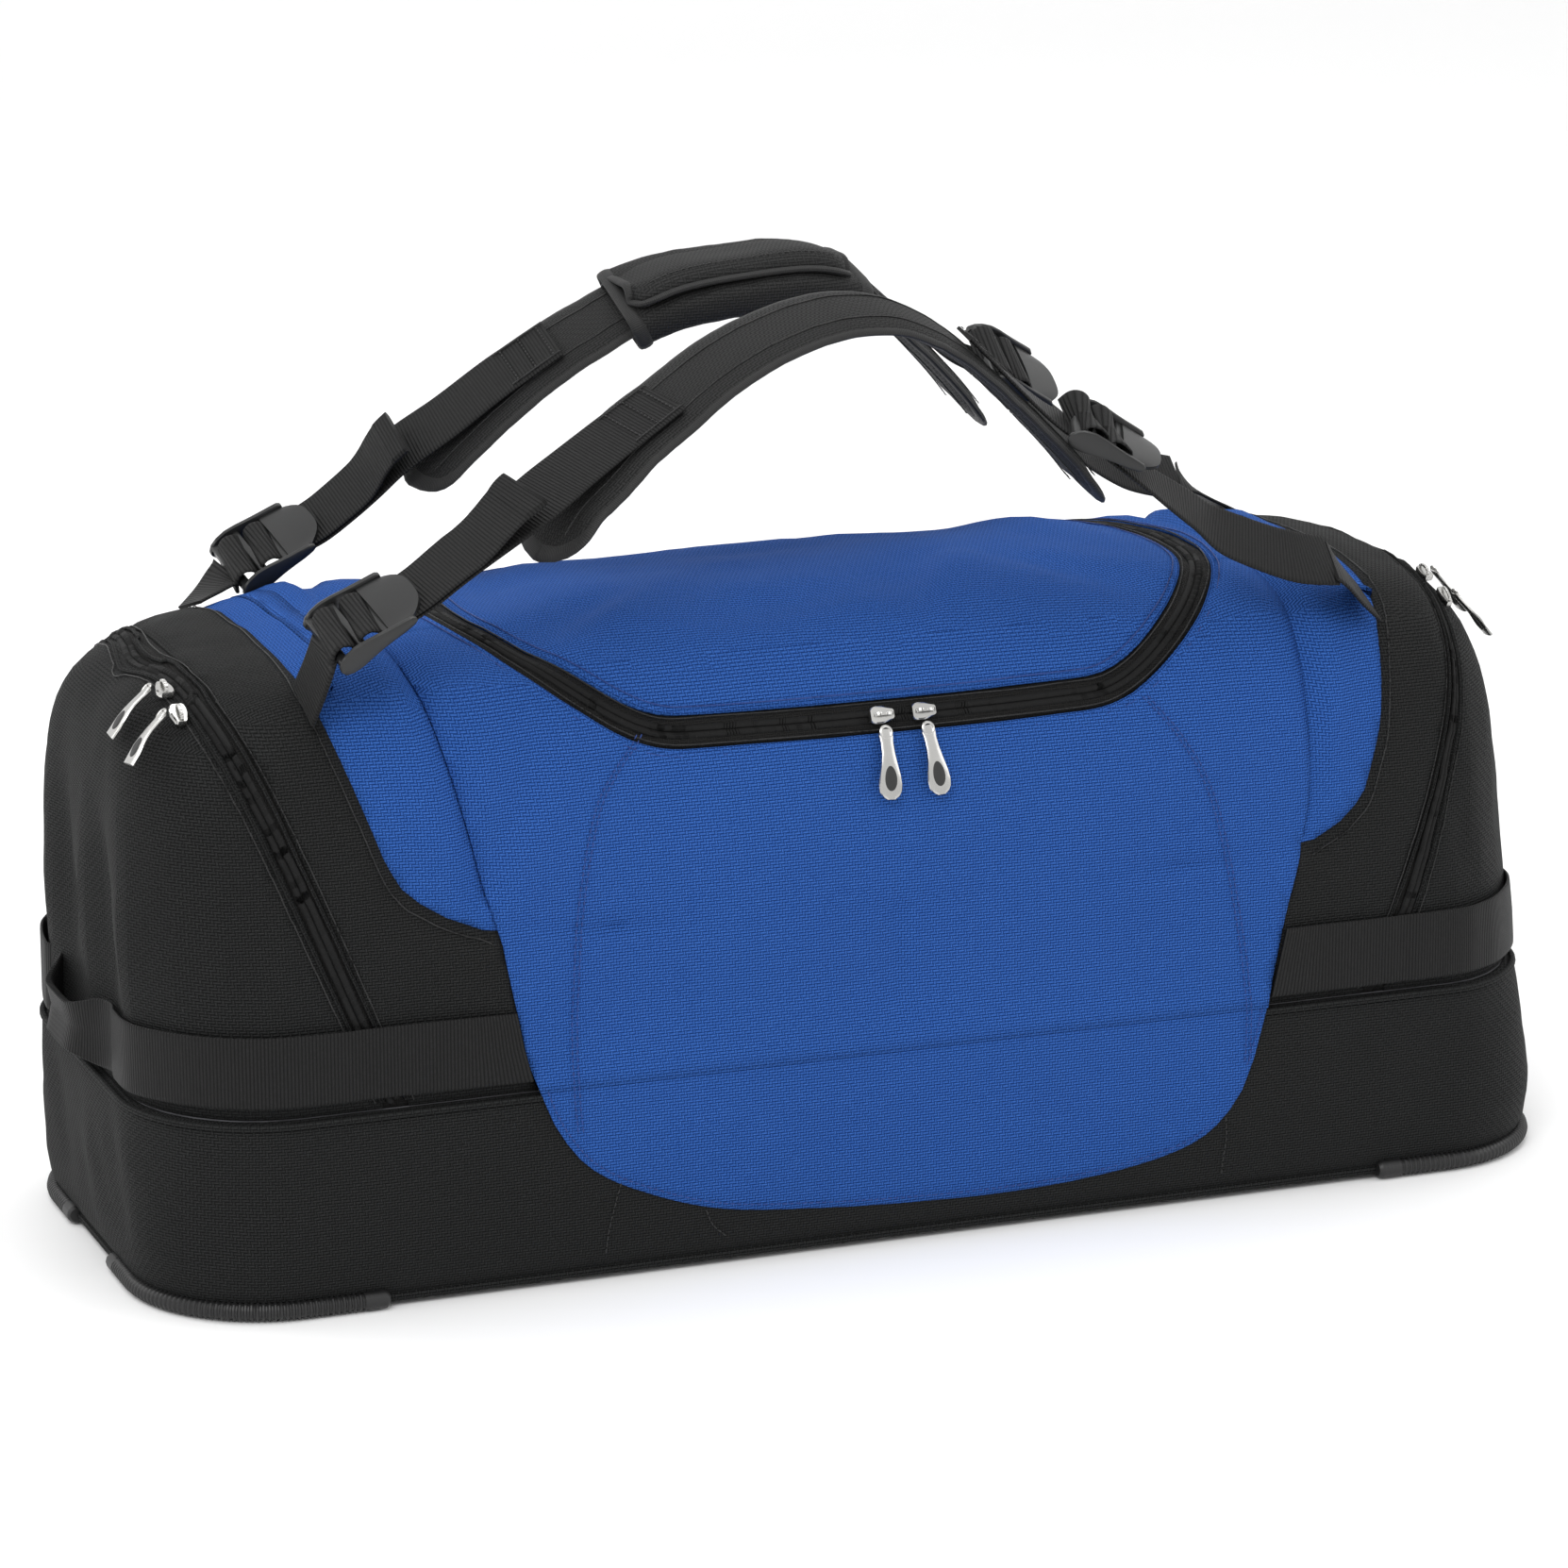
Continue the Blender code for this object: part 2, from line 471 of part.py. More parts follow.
for nm, S in STRAPS.items():
    ax = empty(nm + "_strap_axis", (0, S["piv"][0], S["piv"][1]))
    pad = smooth(S["pad"], 2)
    tip = lambda t: min(1.0, 0.62 + 0.38 * math.sin(math.pi / 2 * min(1, min(t, 1 - t) / 0.05)))
    strip(nm + "_strap_pad", pad, (0, 1, 0), PAD_W, PAD_T, BLACK, ax, tip, 0.004)
    wl, wr = smooth(S["webl"], 2), smooth(S["webr"], 2)
    strip(nm + "_strap_webbing_left", wl, (0, 1, 0), WEB_W, WEB_T, WEB, ax)
    strip(nm + "_strap_webbing_right", wr, (0, 1, 0), WEB_W, WEB_T, WEB, ax)
    # lower buckle on the left, by the anchor; upper buckle on the right, by the pad's end
    a = wl[0]
    d = Vector((1, 0, 0.42))
    box_frame(nm + "_buckle_lower", a - d.normalized() * 0.0175, d, (0, 1, 0), 0.030, 0.046, 0.0080, 0.0085, 0.039, PLAST, ax)
    u = (wr[0] - pad[-1])
    c = pad[-1] + u * 0.55 + Vector((0, 0, .006))
    box_frame(nm + "_buckle_upper", c, u, (0, 1, 0), max(0.02, u.length - 0.018), 0.046, 0.0080, 0.0085, 0.039, PLAST, ax)
    # anchors sewn into the shoulder seams: they stay with the body
    y0 = S["piv"][0]
    for side, x0, x1, z1 in (("left", -0.3320 if nm == "front" else -0.3180, wl[0].x - 0.0345, wl[0].z - 0.0155), ("right", wr[-1].x + 0.0370, wr[-1].x + 0.0010, wr[-1].z)):
        yi = abs(y0) - WEB_W * 0.45
        zs = top_z(x0, yi) + 0.0022
        xm = x0 + (x1 - x0) * .5
        pts = smooth([(x0, y0, zs), (xm, y0, max(top_z(xm, yi) + .003, zs + (z1 - zs) * .35)), (x1, y0, z1)], 2)
        strip(nm + "_strap_anchor_" + side, pts, (0, 1, 0), WEB_W * 0.9, WEB_T, WEB)

# carrying wrap round the middle of the rear strap, with its closing flap
ax = empty("wrap_flap_axis", (0, 0, 0))
W0, W1 = -0.078, 0.050
rp = smooth(STRAPS["rear"]["pad"], 8)
mid = [p for p in rp if W0 <= p.x <= W1]
rear_axis = bpy.data.objects["rear_strap_axis"]
bm = bmesh.new()
rings = []
sel = mid[::3] + ([mid[-1]] if (len(mid) - 1) % 3 else [])
ro, ri = [], []
for i, p in enumerate(sel):
    tan = (sel[min(len(sel) - 1, i + 1)] - sel[max(0, i - 1)]).normalized()
    wd = Vector((0, 1, 0))
    wd = (wd - tan * wd.dot(tan)).normalized()
    nn = tan.cross(wd).normalized()
    def sec(hw, ht):
        k = 10
        return [p + wd * (hw * abs(math.cos(2 * math.pi * (j + .5) / k)) ** .6 * math.copysign(1, math.cos(2 * math.pi * (j + .5) / k)))
                + nn * (ht * abs(math.sin(2 * math.pi * (j + .5) / k)) ** .6 * math.copysign(1, math.sin(2 * math.pi * (j + .5) / k))) for j in range(k)]
    ri.append(sec(PAD_W / 2 + .0045, PAD_T / 2 + .0040))
    ro.append(sec(PAD_W / 2 + .0075, PAD_T / 2 + .0070))
vo = loft(bm, ro, False, False)
vi = loft(bm, ri, False, False)
for k in (0, -1):
    for j in range(10):
        bm.faces.new((vo[k][j], vo[k][(j + 1) % 10], vi[k][(j + 1) % 10], vi[k][j]))
new_obj("handle_wrap", bm, BLACK, rear_axis)
# the flap lies on top of the wrap, hinged along its rear edge
top = [p + Vector((0, 0, PAD_T / 2 + .0105)) for p in sel]
zt = max(p.z for p in top)
yc = sum(p.y for p in top) / len(top)
FLAP_HINGE = (yc + PAD_W / 2 - .004, zt + .0012)
ax = empty("wrap_flap_axis2", (0, FLAP_HINGE[0], FLAP_HINGE[1]))
bm = bmesh.new()
rings = []
for p in top:
    rings.append([Vector((p.x, yc + PAD_W / 2 - .006, p.z)), Vector((p.x, yc - PAD_W / 2 + .004, p.z)),
                  Vector((p.x, yc - PAD_W / 2 + .004, p.z + .0022)), Vector((p.x, yc + PAD_W / 2 - .006, p.z + .0022))])
loft(bm, rings)
new_obj("handle_wrap_flap", bm, BLACK, ax)
bpy.data.objects.remove(bpy.data.objects["wrap_flap_axis"])

# ---------------------------------------------------------------- zip sliders and pulls
def block(bm, c, ex, ey, ez, hx, hy, hz, ch=0.25):
    """Chamfered block: rings along ez."""
    c, ex, ey, ez = Vector(c), Vector(ex), Vector(ey), Vector(ez)
    def ring(z, s):
        return [c + ex * (hx * s * a) + ey * (hy * s * b) + ez * z for a, b in ((-1, -.6), (-.6, -1), (.6, -1), (1, -.6), (1, .6), (.6, 1), (-.6, 1), (-1, .6))]
    loft(bm, [ring(-hz, .94), ring(-hz * .5, 1), ring(hz * .5, 1), ring(hz, .8)])

def pull(name, hinge, d, n, length, parent):
    """Tapered pull tab with an eye-end at the hinge, hanging along d with face normal n."""
    d, n = Vector(d).normalized(), Vector(n).normalized()
    s = d.cross(n).normalized()
    bm = bmesh.new()
    prof = [(0.0, .0026), (.006, .0030), (.014, .0036), (.024, .0052), (.031, .0058), (.035, .0048), (length, .0026)]
    rings = []
    for l, hw in prof:
        c = Vector(hinge) + d * l
        rings.append([c + s * hw + n * .0010, c - s * hw + n * .0010, c - s * hw - n * .0010, c + s * hw - n * .0010])
    loft(bm, rings)
    return new_obj(name, bm, METAL, parent)

# main sliders on the front run of the lid zip
zl = LID_Y0 + .002
ZF = top_z(0, LID_Y0)
slope = (top_z(0, LID_Y0 + .004) - top_z(0, LID_Y0 - .004)) / .008
tn = Vector((0, -1, -slope)).normalized()          # down the front face
nn = Vector((0, -slope, 1)).normalized()           # outward
for nm, x in (("left", -0.004), ("right", 0.020)):
    c = Vector((x, LID_Y0, ZF)) + nn * .0046
    ax = empty("main_slider_axis_" + nm, c)
    bm = bmesh.new()
    block(bm, c, (1, 0, 0), tn, nn, .0055, .0068, .0028)
    new_obj("main_slider_" + nm, bm, METAL, ax)
    h = c + tn * .0092 + nn * .0008
    ze = h.z - 0.031
    d = (Vector((0, -(face_y(x, ze) + .0095) - h.y, ze - h.z))).normalized()
    ax2 = empty("main_pull_axis_" + nm, h)
    pull("main_pull_" + nm, h, d, Vector((0, -d.z, d.y)), .037, ax2)

# end sliders on the top run of each end zip
for side, sx in (("left", -1), ("right", 1)):
    for nm, y in (("a", -0.088), ("b", -0.062)):
        ax_ = door_line(0.338) + 0.007
        x = sx * ax_
        z = max(top_z(ax_ + dx, abs(y) + dy) for dx in (-.006, 0, .006) for dy in (-.006, 0, .006))
        sl = (top_z(ax_, abs(y) - .006) - top_z(ax_, abs(y) + .006)) / .012
        ty = Vector((0, 1, sl)).normalized()
        nn2 = Vector((0, -sl, 1)).normalized()
        c = Vector((x, y, z)) + nn2 * .0042
        bm = bmesh.new()
        ax = empty("end_slider_axis_%s_%s" % (side, nm), c)
        block(bm, c, ty, (1, 0, 0), nn2, .0050, .0062, .0026)
        new_obj("end_slider_%s_%s" % (side, nm), bm, METAL, ax)
        h = c + Vector((sx * .0085, 0, .0002))
        ax2 = empty("end_pull_axis_%s_%s" % (side, nm), h)
        d = Vector((sx * .70, 0, -.714)).normalized()
        pull("end_pull_%s_%s" % (side, nm), h, d, Vector((sx * .714, 0, .70)), .034, ax2)
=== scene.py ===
import bpy, bmesh, math, json
import numpy as np
from mathutils import Vector, Matrix


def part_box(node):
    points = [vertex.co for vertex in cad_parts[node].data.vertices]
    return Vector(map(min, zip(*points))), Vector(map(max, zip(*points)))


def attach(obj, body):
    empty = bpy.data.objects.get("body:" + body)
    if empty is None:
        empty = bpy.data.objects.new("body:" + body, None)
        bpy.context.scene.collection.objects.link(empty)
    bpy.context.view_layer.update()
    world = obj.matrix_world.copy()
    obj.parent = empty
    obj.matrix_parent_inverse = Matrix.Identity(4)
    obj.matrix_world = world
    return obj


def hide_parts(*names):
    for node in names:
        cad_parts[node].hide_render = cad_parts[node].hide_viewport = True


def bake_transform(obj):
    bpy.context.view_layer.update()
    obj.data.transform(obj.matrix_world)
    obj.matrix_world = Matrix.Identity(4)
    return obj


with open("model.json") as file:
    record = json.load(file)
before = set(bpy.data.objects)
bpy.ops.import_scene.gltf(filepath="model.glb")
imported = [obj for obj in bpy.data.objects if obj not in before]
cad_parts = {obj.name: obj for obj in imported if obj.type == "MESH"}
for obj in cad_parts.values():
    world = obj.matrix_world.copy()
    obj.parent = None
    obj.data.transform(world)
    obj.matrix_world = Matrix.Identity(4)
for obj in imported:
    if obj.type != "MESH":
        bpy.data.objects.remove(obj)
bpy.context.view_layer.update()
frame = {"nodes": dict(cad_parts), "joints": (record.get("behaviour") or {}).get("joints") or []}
col = bpy.context.scene.collection

# ------------------------------------------------------------------ sizes shared with the CAD
HALF_L, HALF_D, CORNER_R = 0.410, 0.153, 0.079
SEAM_Z, Z0, CROWN = 0.1065, 0.1090, 0.3430
A, B, END_DROP, SH_DROP = 0.4040, 0.1470, 0.0120, 0.0250
LID_X, LID_Y0, LID_Y1, LID_R = 0.2150, -0.1270, 0.0965, 0.098
BAND_Z = 0.134
FINE = 0.55

# ------------------------------------------------------------------ node materials
def nodes_of(m):
    m.use_nodes = True
    nt = m.node_tree
    return nt, nt.nodes, nt.links, nt.nodes["Principled BSDF"]

def math_node(N, L, op, a, b=None, c=None):
    n = N.new("ShaderNodeMath"); n.operation = op
    for i, v in enumerate((a, b, c)):
        if v is None: continue
        if isinstance(v, (int, float)): n.inputs[i].default_value = v
        else: L.new(v, n.inputs[i])
    return n.outputs[0]

def mixc(N, L, f, a, b):
    n = N.new("ShaderNodeMix"); n.data_type = 'RGBA'
    if isinstance(f, (int, float)): n.inputs[0].default_value = f
    else: L.new(f, n.inputs[0])
    for i, v in ((6, a), (7, b)):
        if isinstance(v, tuple): n.inputs[i].default_value = (*v, 1)
        else: L.new(v, n.inputs[i])
    return n.outputs[2]

def weave(name, base, dark, light, pitch=0.0011, kind="twill", rough=0.72, sheen=0.12, bump=0.35, spec=0.35, macro=0.10):
    """Woven cloth on a UV map in metres: warp and weft threads that pass over and under each other."""
    m = bpy.data.materials.new(name)
    nt, N, L, P = nodes_of(m)
    uv = N.new("ShaderNodeUVMap"); uv.uv_map = "cloth"
    sp = N.new("ShaderNodeSeparateXYZ"); L.new(uv.outputs[0], sp.inputs[0])
    x = math_node(N, L, 'DIVIDE', sp.outputs[0], pitch)
    y = math_node(N, L, 'DIVIDE', sp.outputs[1], pitch)
    fx, fy = math_node(N, L, 'FRACT', x), math_node(N, L, 'FRACT', y)
    ix, iy = math_node(N, L, 'FLOOR', x), math_node(N, L, 'FLOOR', y)
    hx = math_node(N, L, 'SINE', math_node(N, L, 'MULTIPLY', fx, math.pi))
    hy = math_node(N, L, 'SINE', math_node(N, L, 'MULTIPLY', fy, math.pi))
    s = math_node(N, L, 'ADD', ix, iy)
    per = {"twill": 3.0, "plain": 2.0, "rib": 2.0, "herring": 4.0}[kind]
    if kind == "herring":
        s = math_node(N, L, 'ADD', math_node(N, L, 'PINGPONG', ix, 4.0), iy)
    md = math_node(N, L, 'FLOORED_MODULO', s, per)
    over = math_node(N, L, 'LESS_THAN', md, per / 2 - 0.01)
    h = N.new("ShaderNodeMix"); h.data_type = 'FLOAT'
    L.new(over, h.inputs[0]); L.new(hx, h.inputs[2]); L.new(hy, h.inputs[3])
    height = h.outputs[0]
    if kind == "rib":
        height = math_node(N, L, 'POWER', hx, 0.6)
    tc = N.new("ShaderNodeTexCoord")
    big = N.new("ShaderNodeTexNoise"); big.inputs["Scale"].default_value = 7.0; big.inputs["Detail"].default_value = 4.0
    L.new(tc.outputs["Object"], big.inputs["Vector"])
    fib = N.new("ShaderNodeTexNoise"); fib.inputs["Scale"].default_value = 900.0; fib.inputs["Detail"].default_value = 2.0
    L.new(tc.outputs["Object"], fib.inputs["Vector"])
    # thread colour: the gaps between the threads are darkened towards dark as painted shade, and the thread crowns are
    # lifted towards light, flecked by the fibre noise, as a painted highlight; the over-and-under twill pattern is the
    # weave's own structure
    c1 = mixc(N, L, math_node(N, L, 'POWER', height, 0.7), dark, base)
    c2 = mixc(N, L, math_node(N, L, 'MULTIPLY', math_node(N, L, 'MULTIPLY', height, height), fib.outputs["Fac"]), c1, light)
    f = math_node(N, L, 'MULTIPLY_ADD', big.outputs["Fac"], macro, -macro * 0.5)
    br = N.new("ShaderNodeHueSaturation"); L.new(c2, br.inputs["Color"])
    L.new(math_node(N, L, 'ADD', f, 1.0), br.inputs["Value"])
    # rubbed, slightly paler cloth on the outer edges and lower corners
    geo = N.new("ShaderNodeNewGeometry")
    wear = N.new("ShaderNodeMapRange"); wear.inputs[1].default_value = 0.53; wear.inputs[2].default_value = 0.62
    wear.inputs[3].default_value = 0.0; wear.inputs[4].default_value = 0.10
    L.new(geo.outputs["Pointiness"], wear.inputs[0])
    c3 = mixc(N, L, wear.outputs[0], br.outputs[0], light)
    L.new(c3, P.inputs["Base Color"])
    rr = N.new("ShaderNodeMapRange"); rr.inputs[3].default_value = rough + 0.10; rr.inputs[4].default_value = rough - 0.08
    L.new(height, rr.inputs[0]); L.new(rr.outputs[0], P.inputs["Roughness"])
    b = N.new("ShaderNodeBump"); b.inputs["Strength"].default_value = bump; b.inputs["Distance"].default_value = 0.0004
    L.new(math_node(N, L, 'MULTIPLY_ADD', fib.outputs["Fac"], 0.25, height), b.inputs["Height"])
    L.new(b.outputs[0], P.inputs["Normal"])
    P.inputs["Sheen Weight"].default_value = sheen
    P.inputs["Sheen Roughness"].default_value = 0.45
    P.inputs["Specular IOR Level"].default_value = spec
    return m

def moulded(name, rgb, rough, metal=0.0, grain=260.0, bump=0.08, spec=0.5, coat=0.0, brushed=False):
    m = bpy.data.materials.new(name)
    nt, N, L, P = nodes_of(m)
    tc = N.new("ShaderNodeTexCoord")
    mp = N.new("ShaderNodeMapping"); L.new(tc.outputs["Object"], mp.inputs[0])
    if brushed: mp.inputs["Scale"].default_value = (1, 1, 0.12)
    n = N.new("ShaderNodeTexNoise"); n.inputs["Scale"].default_value = grain; n.inputs["Detail"].default_value = 5.0
    L.new(mp.outputs[0], n.inputs["Vector"])
    n2 = N.new("ShaderNodeTexNoise"); n2.inputs["Scale"].default_value = 30.0; n2.inputs["Detail"].default_value = 3.0
    L.new(tc.outputs["Object"], n2.inputs["Vector"])
    lo = tuple(v * 0.75 for v in rgb); hi = tuple(min(1, v * 1.25 + 0.004) for v in rgb)
    L.new(mixc(N, L, n2.outputs["Fac"], lo, hi), P.inputs["Base Color"])
    rr = N.new("ShaderNodeMapRange"); rr.inputs[3].default_value = max(0.05, rough - 0.08); rr.inputs[4].default_value = rough + 0.10
    L.new(n2.outputs["Fac"], rr.inputs[0]); L.new(rr.outputs[0], P.inputs["Roughness"])
    P.inputs["Metallic"].default_value = metal
    P.inputs["Specular IOR Level"].default_value = spec
    P.inputs["Coat Weight"].default_value = coat
    b = N.new("ShaderNodeBump"); b.inputs["Strength"].default_value = bump; b.inputs["Distance"].default_value = 0.0003
    L.new(n.outputs["Fac"], b.inputs["Height"]); L.new(b.outputs[0], P.inputs["Normal"])
    return m

# per cloth: base colour, then the dark tone painted into the gaps between threads as shade, then the light tone painted
# on the thread crowns as a highlight (the light tone also colours the rubbed edges)
M_BLUE = weave("blue_polyester", (0.0115, 0.057, 0.246), (0.0022, 0.013, 0.072), (0.050, 0.155, 0.50), 0.0016, "twill", 0.84, 0.0, 1.0, 0.08)
M_BLACK = weave("black_polyester", (0.0044, 0.0046, 0.0046), (0.0006, 0.0006, 0.0006), (0.030, 0.031, 0.031), 0.0016, "twill", 0.76, 0.01, 1.0, 0.12)
M_PAD = weave("strap_polyester", (0.0058, 0.0060, 0.0060), (0.0012, 0.0013, 0.0013), (0.028, 0.028, 0.028), 0.0017, "twill", 0.70, 0.02, 0.60, 0.18)
M_WEB = weave("ribbed_webbing", (0.0046, 0.0046, 0.0047), (0.0008, 0.0008, 0.0008), (0.017, 0.017, 0.017), 0.0019, "rib", 0.62, 0.01, 1.0, 0.16)
M_BIND = weave("edge_binding", (0.0080, 0.0080, 0.0080), (0.0025, 0.0025, 0.0025), (0.026, 0.026, 0.026), 0.0010, "rib", 0.60, 0.03, 0.6, 0.26)
M_TAPE = weave("zip_tape_cloth", (0.0060, 0.0059, 0.0057), (0.0020, 0.0020, 0.0019), (0.017, 0.0165, 0.016), 0.0012, "herring", 0.76, 0.01, 0.6, 0.14)
M_LINER = weave("grey_lining", (0.10, 0.10, 0.108), (0.05, 0.05, 0.055), (0.16, 0.16, 0.17), 0.0010, "plain", 0.8, 0.1, 0.3, 0.3)
M_LINING = moulded("lining_cloth", (0.10, 0.10, 0.108), 0.82, grain=700, bump=0.25, spec=0.2)
M_PLAST = moulded("buckle_plastic", (0.0075, 0.0078, 0.0080), 0.36, grain=500, bump=0.05, spec=0.45)
M_GUARD = moulded("guard_plastic", (0.0085, 0.0085, 0.0088), 0.44, grain=700, bump=0.10, spec=0.5)
M_COIL = moulded("zip_coil_nylon", (0.0030, 0.0030, 0.0030), 0.80, grain=900, bump=0.05, spec=0.25)
M_METAL = moulded("nickel_metal", (0.52, 0.515, 0.50), 0.24, metal=1.0, grain=400, bump=0.04, brushed=True)
M_RUBBER = moulded("pull_rubber", (0.012, 0.012, 0.012), 0.55, grain=600, bump=0.1)
M_THREAD_K = weave("black_thread", (0.011, 0.011, 0.011), (0.004, 0.004, 0.004), (0.03, 0.03, 0.03), 0.0005, "rib", 0.55, 0.1, 0.5)
M_THREAD_B = weave("blue_thread", (0.0085, 0.038, 0.200), (0.004, 0.018, 0.110), (0.02, 0.07, 0.32), 0.0005, "rib", 0.55, 0.1, 0.5)
M_WHITE = weave("white_print", (0.80, 0.81, 0.82), (0.66, 0.67, 0.68), (0.88, 0.88, 0.88), 0.0013, "twill", 0.5, 0.02, 0.20, 0.4, 0.03)

# ------------------------------------------------------------------ mesh helpers
LZ = np.array([0.040, 0.077, 0.107, 0.134, 0.157, 0.195, 0.250, 0.290, 0.305])
LD = np.array([0.0, 0.0065, 0.0125, 0.0145, 0.0175, 0.0215, 0.0250, 0.0290, 0.0300])
def lean(V):
    """The filled right end slumps inwards, as in the CAD."""
    V = np.array(V, float)
    t = np.clip((V[:, 0] - 0.300) / 0.100, 0, 1)
    V[:, 0] -= np.interp(V[:, 2], LZ, LD) * t * t * (3 - 2 * t)
    return V
def unlean(p):
    q = np.array(p, float)
    for _ in range(30):
        q[0] += p[0] - lean([q])[0][0]
    return q

def mesh_obj(name, V, F, m, body=None, uv=None, smooth=True, sharp=None):
    V = lean(V)
    me = bpy.data.meshes.new(name)
    me.from_pydata([tuple(v) for v in V], [], [tuple(int(i) for i in f) for f in F])
    me.validate()
    me.materials.append(m)
    if smooth:
        me.shade_smooth() if hasattr(me, "shade_smooth") else [setattr(p, "use_smooth", True) for p in me.polygons]
    if sharp:
        me.set_sharp_from_angle(angle=math.radians(sharp))
    lay = me.uv_layers.new(name="cloth")
    li = np.zeros(len(me.loops), np.int32); me.loops.foreach_get("vertex_index", li)
    if uv is not None:
        lay.data.foreach_set("uv", np.asarray(uv, np.float32)[li].ravel())
    else:
        co = np.zeros(len(me.vertices) * 3, np.float32); me.vertices.foreach_get("co", co); co = co.reshape(-1, 3)
        nr = np.zeros(len(me.polygons) * 3, np.float32); me.polygons.foreach_get("normal", nr); nr = nr.reshape(-1, 3)
        lt = np.zeros(len(me.polygons), np.int32); me.polygons.foreach_get("loop_total", lt)
        pn = np.repeat(np.arange(len(lt)), lt)
        ax = np.argmax(np.abs(nr) * np.array([1.0, 1.05, 0.95]), axis=1)[pn]
        c = co[li]
        u = np.where(ax == 0, c[:, 1], c[:, 0]); v = np.where(ax == 2, c[:, 1], c[:, 2])
        lay.data.foreach_set("uv", np.stack([u, v], 1).astype(np.float32).ravel())
    o = bpy.data.objects.new(name, me)
    col.objects.link(o)
    if body:
        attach(o, body)
    return o

def vnormals(V, F):
    V = np.asarray(V, float); N = np.zeros_like(V)
    T = []
    for f in F:
        for k in range(1, len(f) - 1):
            T.append((f[0], f[k], f[k + 1]))
    T = np.array(T)
    n = np.cross(V[T[:, 1]] - V[T[:, 0]], V[T[:, 2]] - V[T[:, 0]])
    for k in range(3):
        np.add.at(N, T[:, k], n)
    return N / np.maximum(np.linalg.norm(N, axis=1, keepdims=True), 1e-12)

def thicken(V, F, t, N=None):
    """Closed slab: the given surface outside, and a copy t inside it, joined round the rim."""
    V = np.asarray(V, float)
    if N is None: N = vnormals(V, F)
    n = len(V)
    W = np.vstack([V, V - N * t])
    G = [tuple(f) for f in F] + [tuple(i + n for i in reversed(f)) for f in F]
    edges = {}
    for f in F:
        for a, b in zip(f, list(f[1:]) + [f[0]]):
            edges[(a, b)] = 1
    for (a, b) in edges:
        if (b, a) not in edges:
            G.append((b, a, a + n, b + n))
    return W, G

def srand(seed, n):
    return np.random.RandomState(seed).rand(n)

def noise3(P, scale, seed, octaves=3):
    """Smooth value built from a few fixed sine waves in changing directions."""
    r = np.random.RandomState(seed)
    out = np.zeros(len(P)); amp, tot, f = 1.0, 0.0, 1.0 / scale
    for _ in range(octaves):
        for _k in range(4):
            d = r.normal(size=3); d /= np.linalg.norm(d)
            out += amp * np.sin(P @ d * f * 2 * math.pi + r.rand() * 6.28 + 1.7 * np.sin(P @ r.normal(size=3) * f * 2.2))
            tot += amp
        amp *= 0.5; f *= 1.9
    return out / tot * 1.6

def sstep(x, a, b):
    t = np.clip((x - a) / (b - a), 0, 1)
    return t * t * (3 - 2 * t)

def bumpf(x, c, w):
    return np.exp(-((x - c) / w) ** 2)

# ------------------------------------------------------------------ main compartment surface
def halfs(z):
    t = np.clip((z - Z0) / (CROWN - Z0), 0, 1)
    return A * np.maximum(0, 1 - t ** 10) ** (1 / 10), B * np.maximum(0, 1 - t ** 4) ** 0.25

def sag(x, y, z):
    tz = (z - Z0) / (CROWN - Z0)
    q = np.minimum(1, np.abs(y) / B)
    c = np.cos(math.pi / 2 * np.minimum(1, np.abs(x) / 0.40))
    return END_DROP * (np.minimum(np.abs(x), .41) / .4) ** 2 * tz + SH_DROP * c * c * q ** 3 * tz

def raw_top(x, y):
    lo, hi = np.full(np.shape(x), Z0), np.full(np.shape(x), CROWN)
    for _ in range(30):
        m = 0.5 * (lo + hi)
        a, b = halfs(m)
        r = np.minimum(CORNER_R - .004, .98 * b)
        dx, dy = np.abs(x) - (a - r), np.abs(y) - (b - r)
        ins = np.where((dx <= 0) | (dy <= 0), (np.abs(x) <= a) & (np.abs(y) <= b), dx * dx + dy * dy <= r * r)
        lo, hi = np.where(ins, m, lo), np.where(ins, hi, m)
    return lo

def top_z(x, y):
    x, y = np.asarray(x, float), np.asarray(y, float)
    z = raw_top(x, y)
    return z - sag(x, y, z)

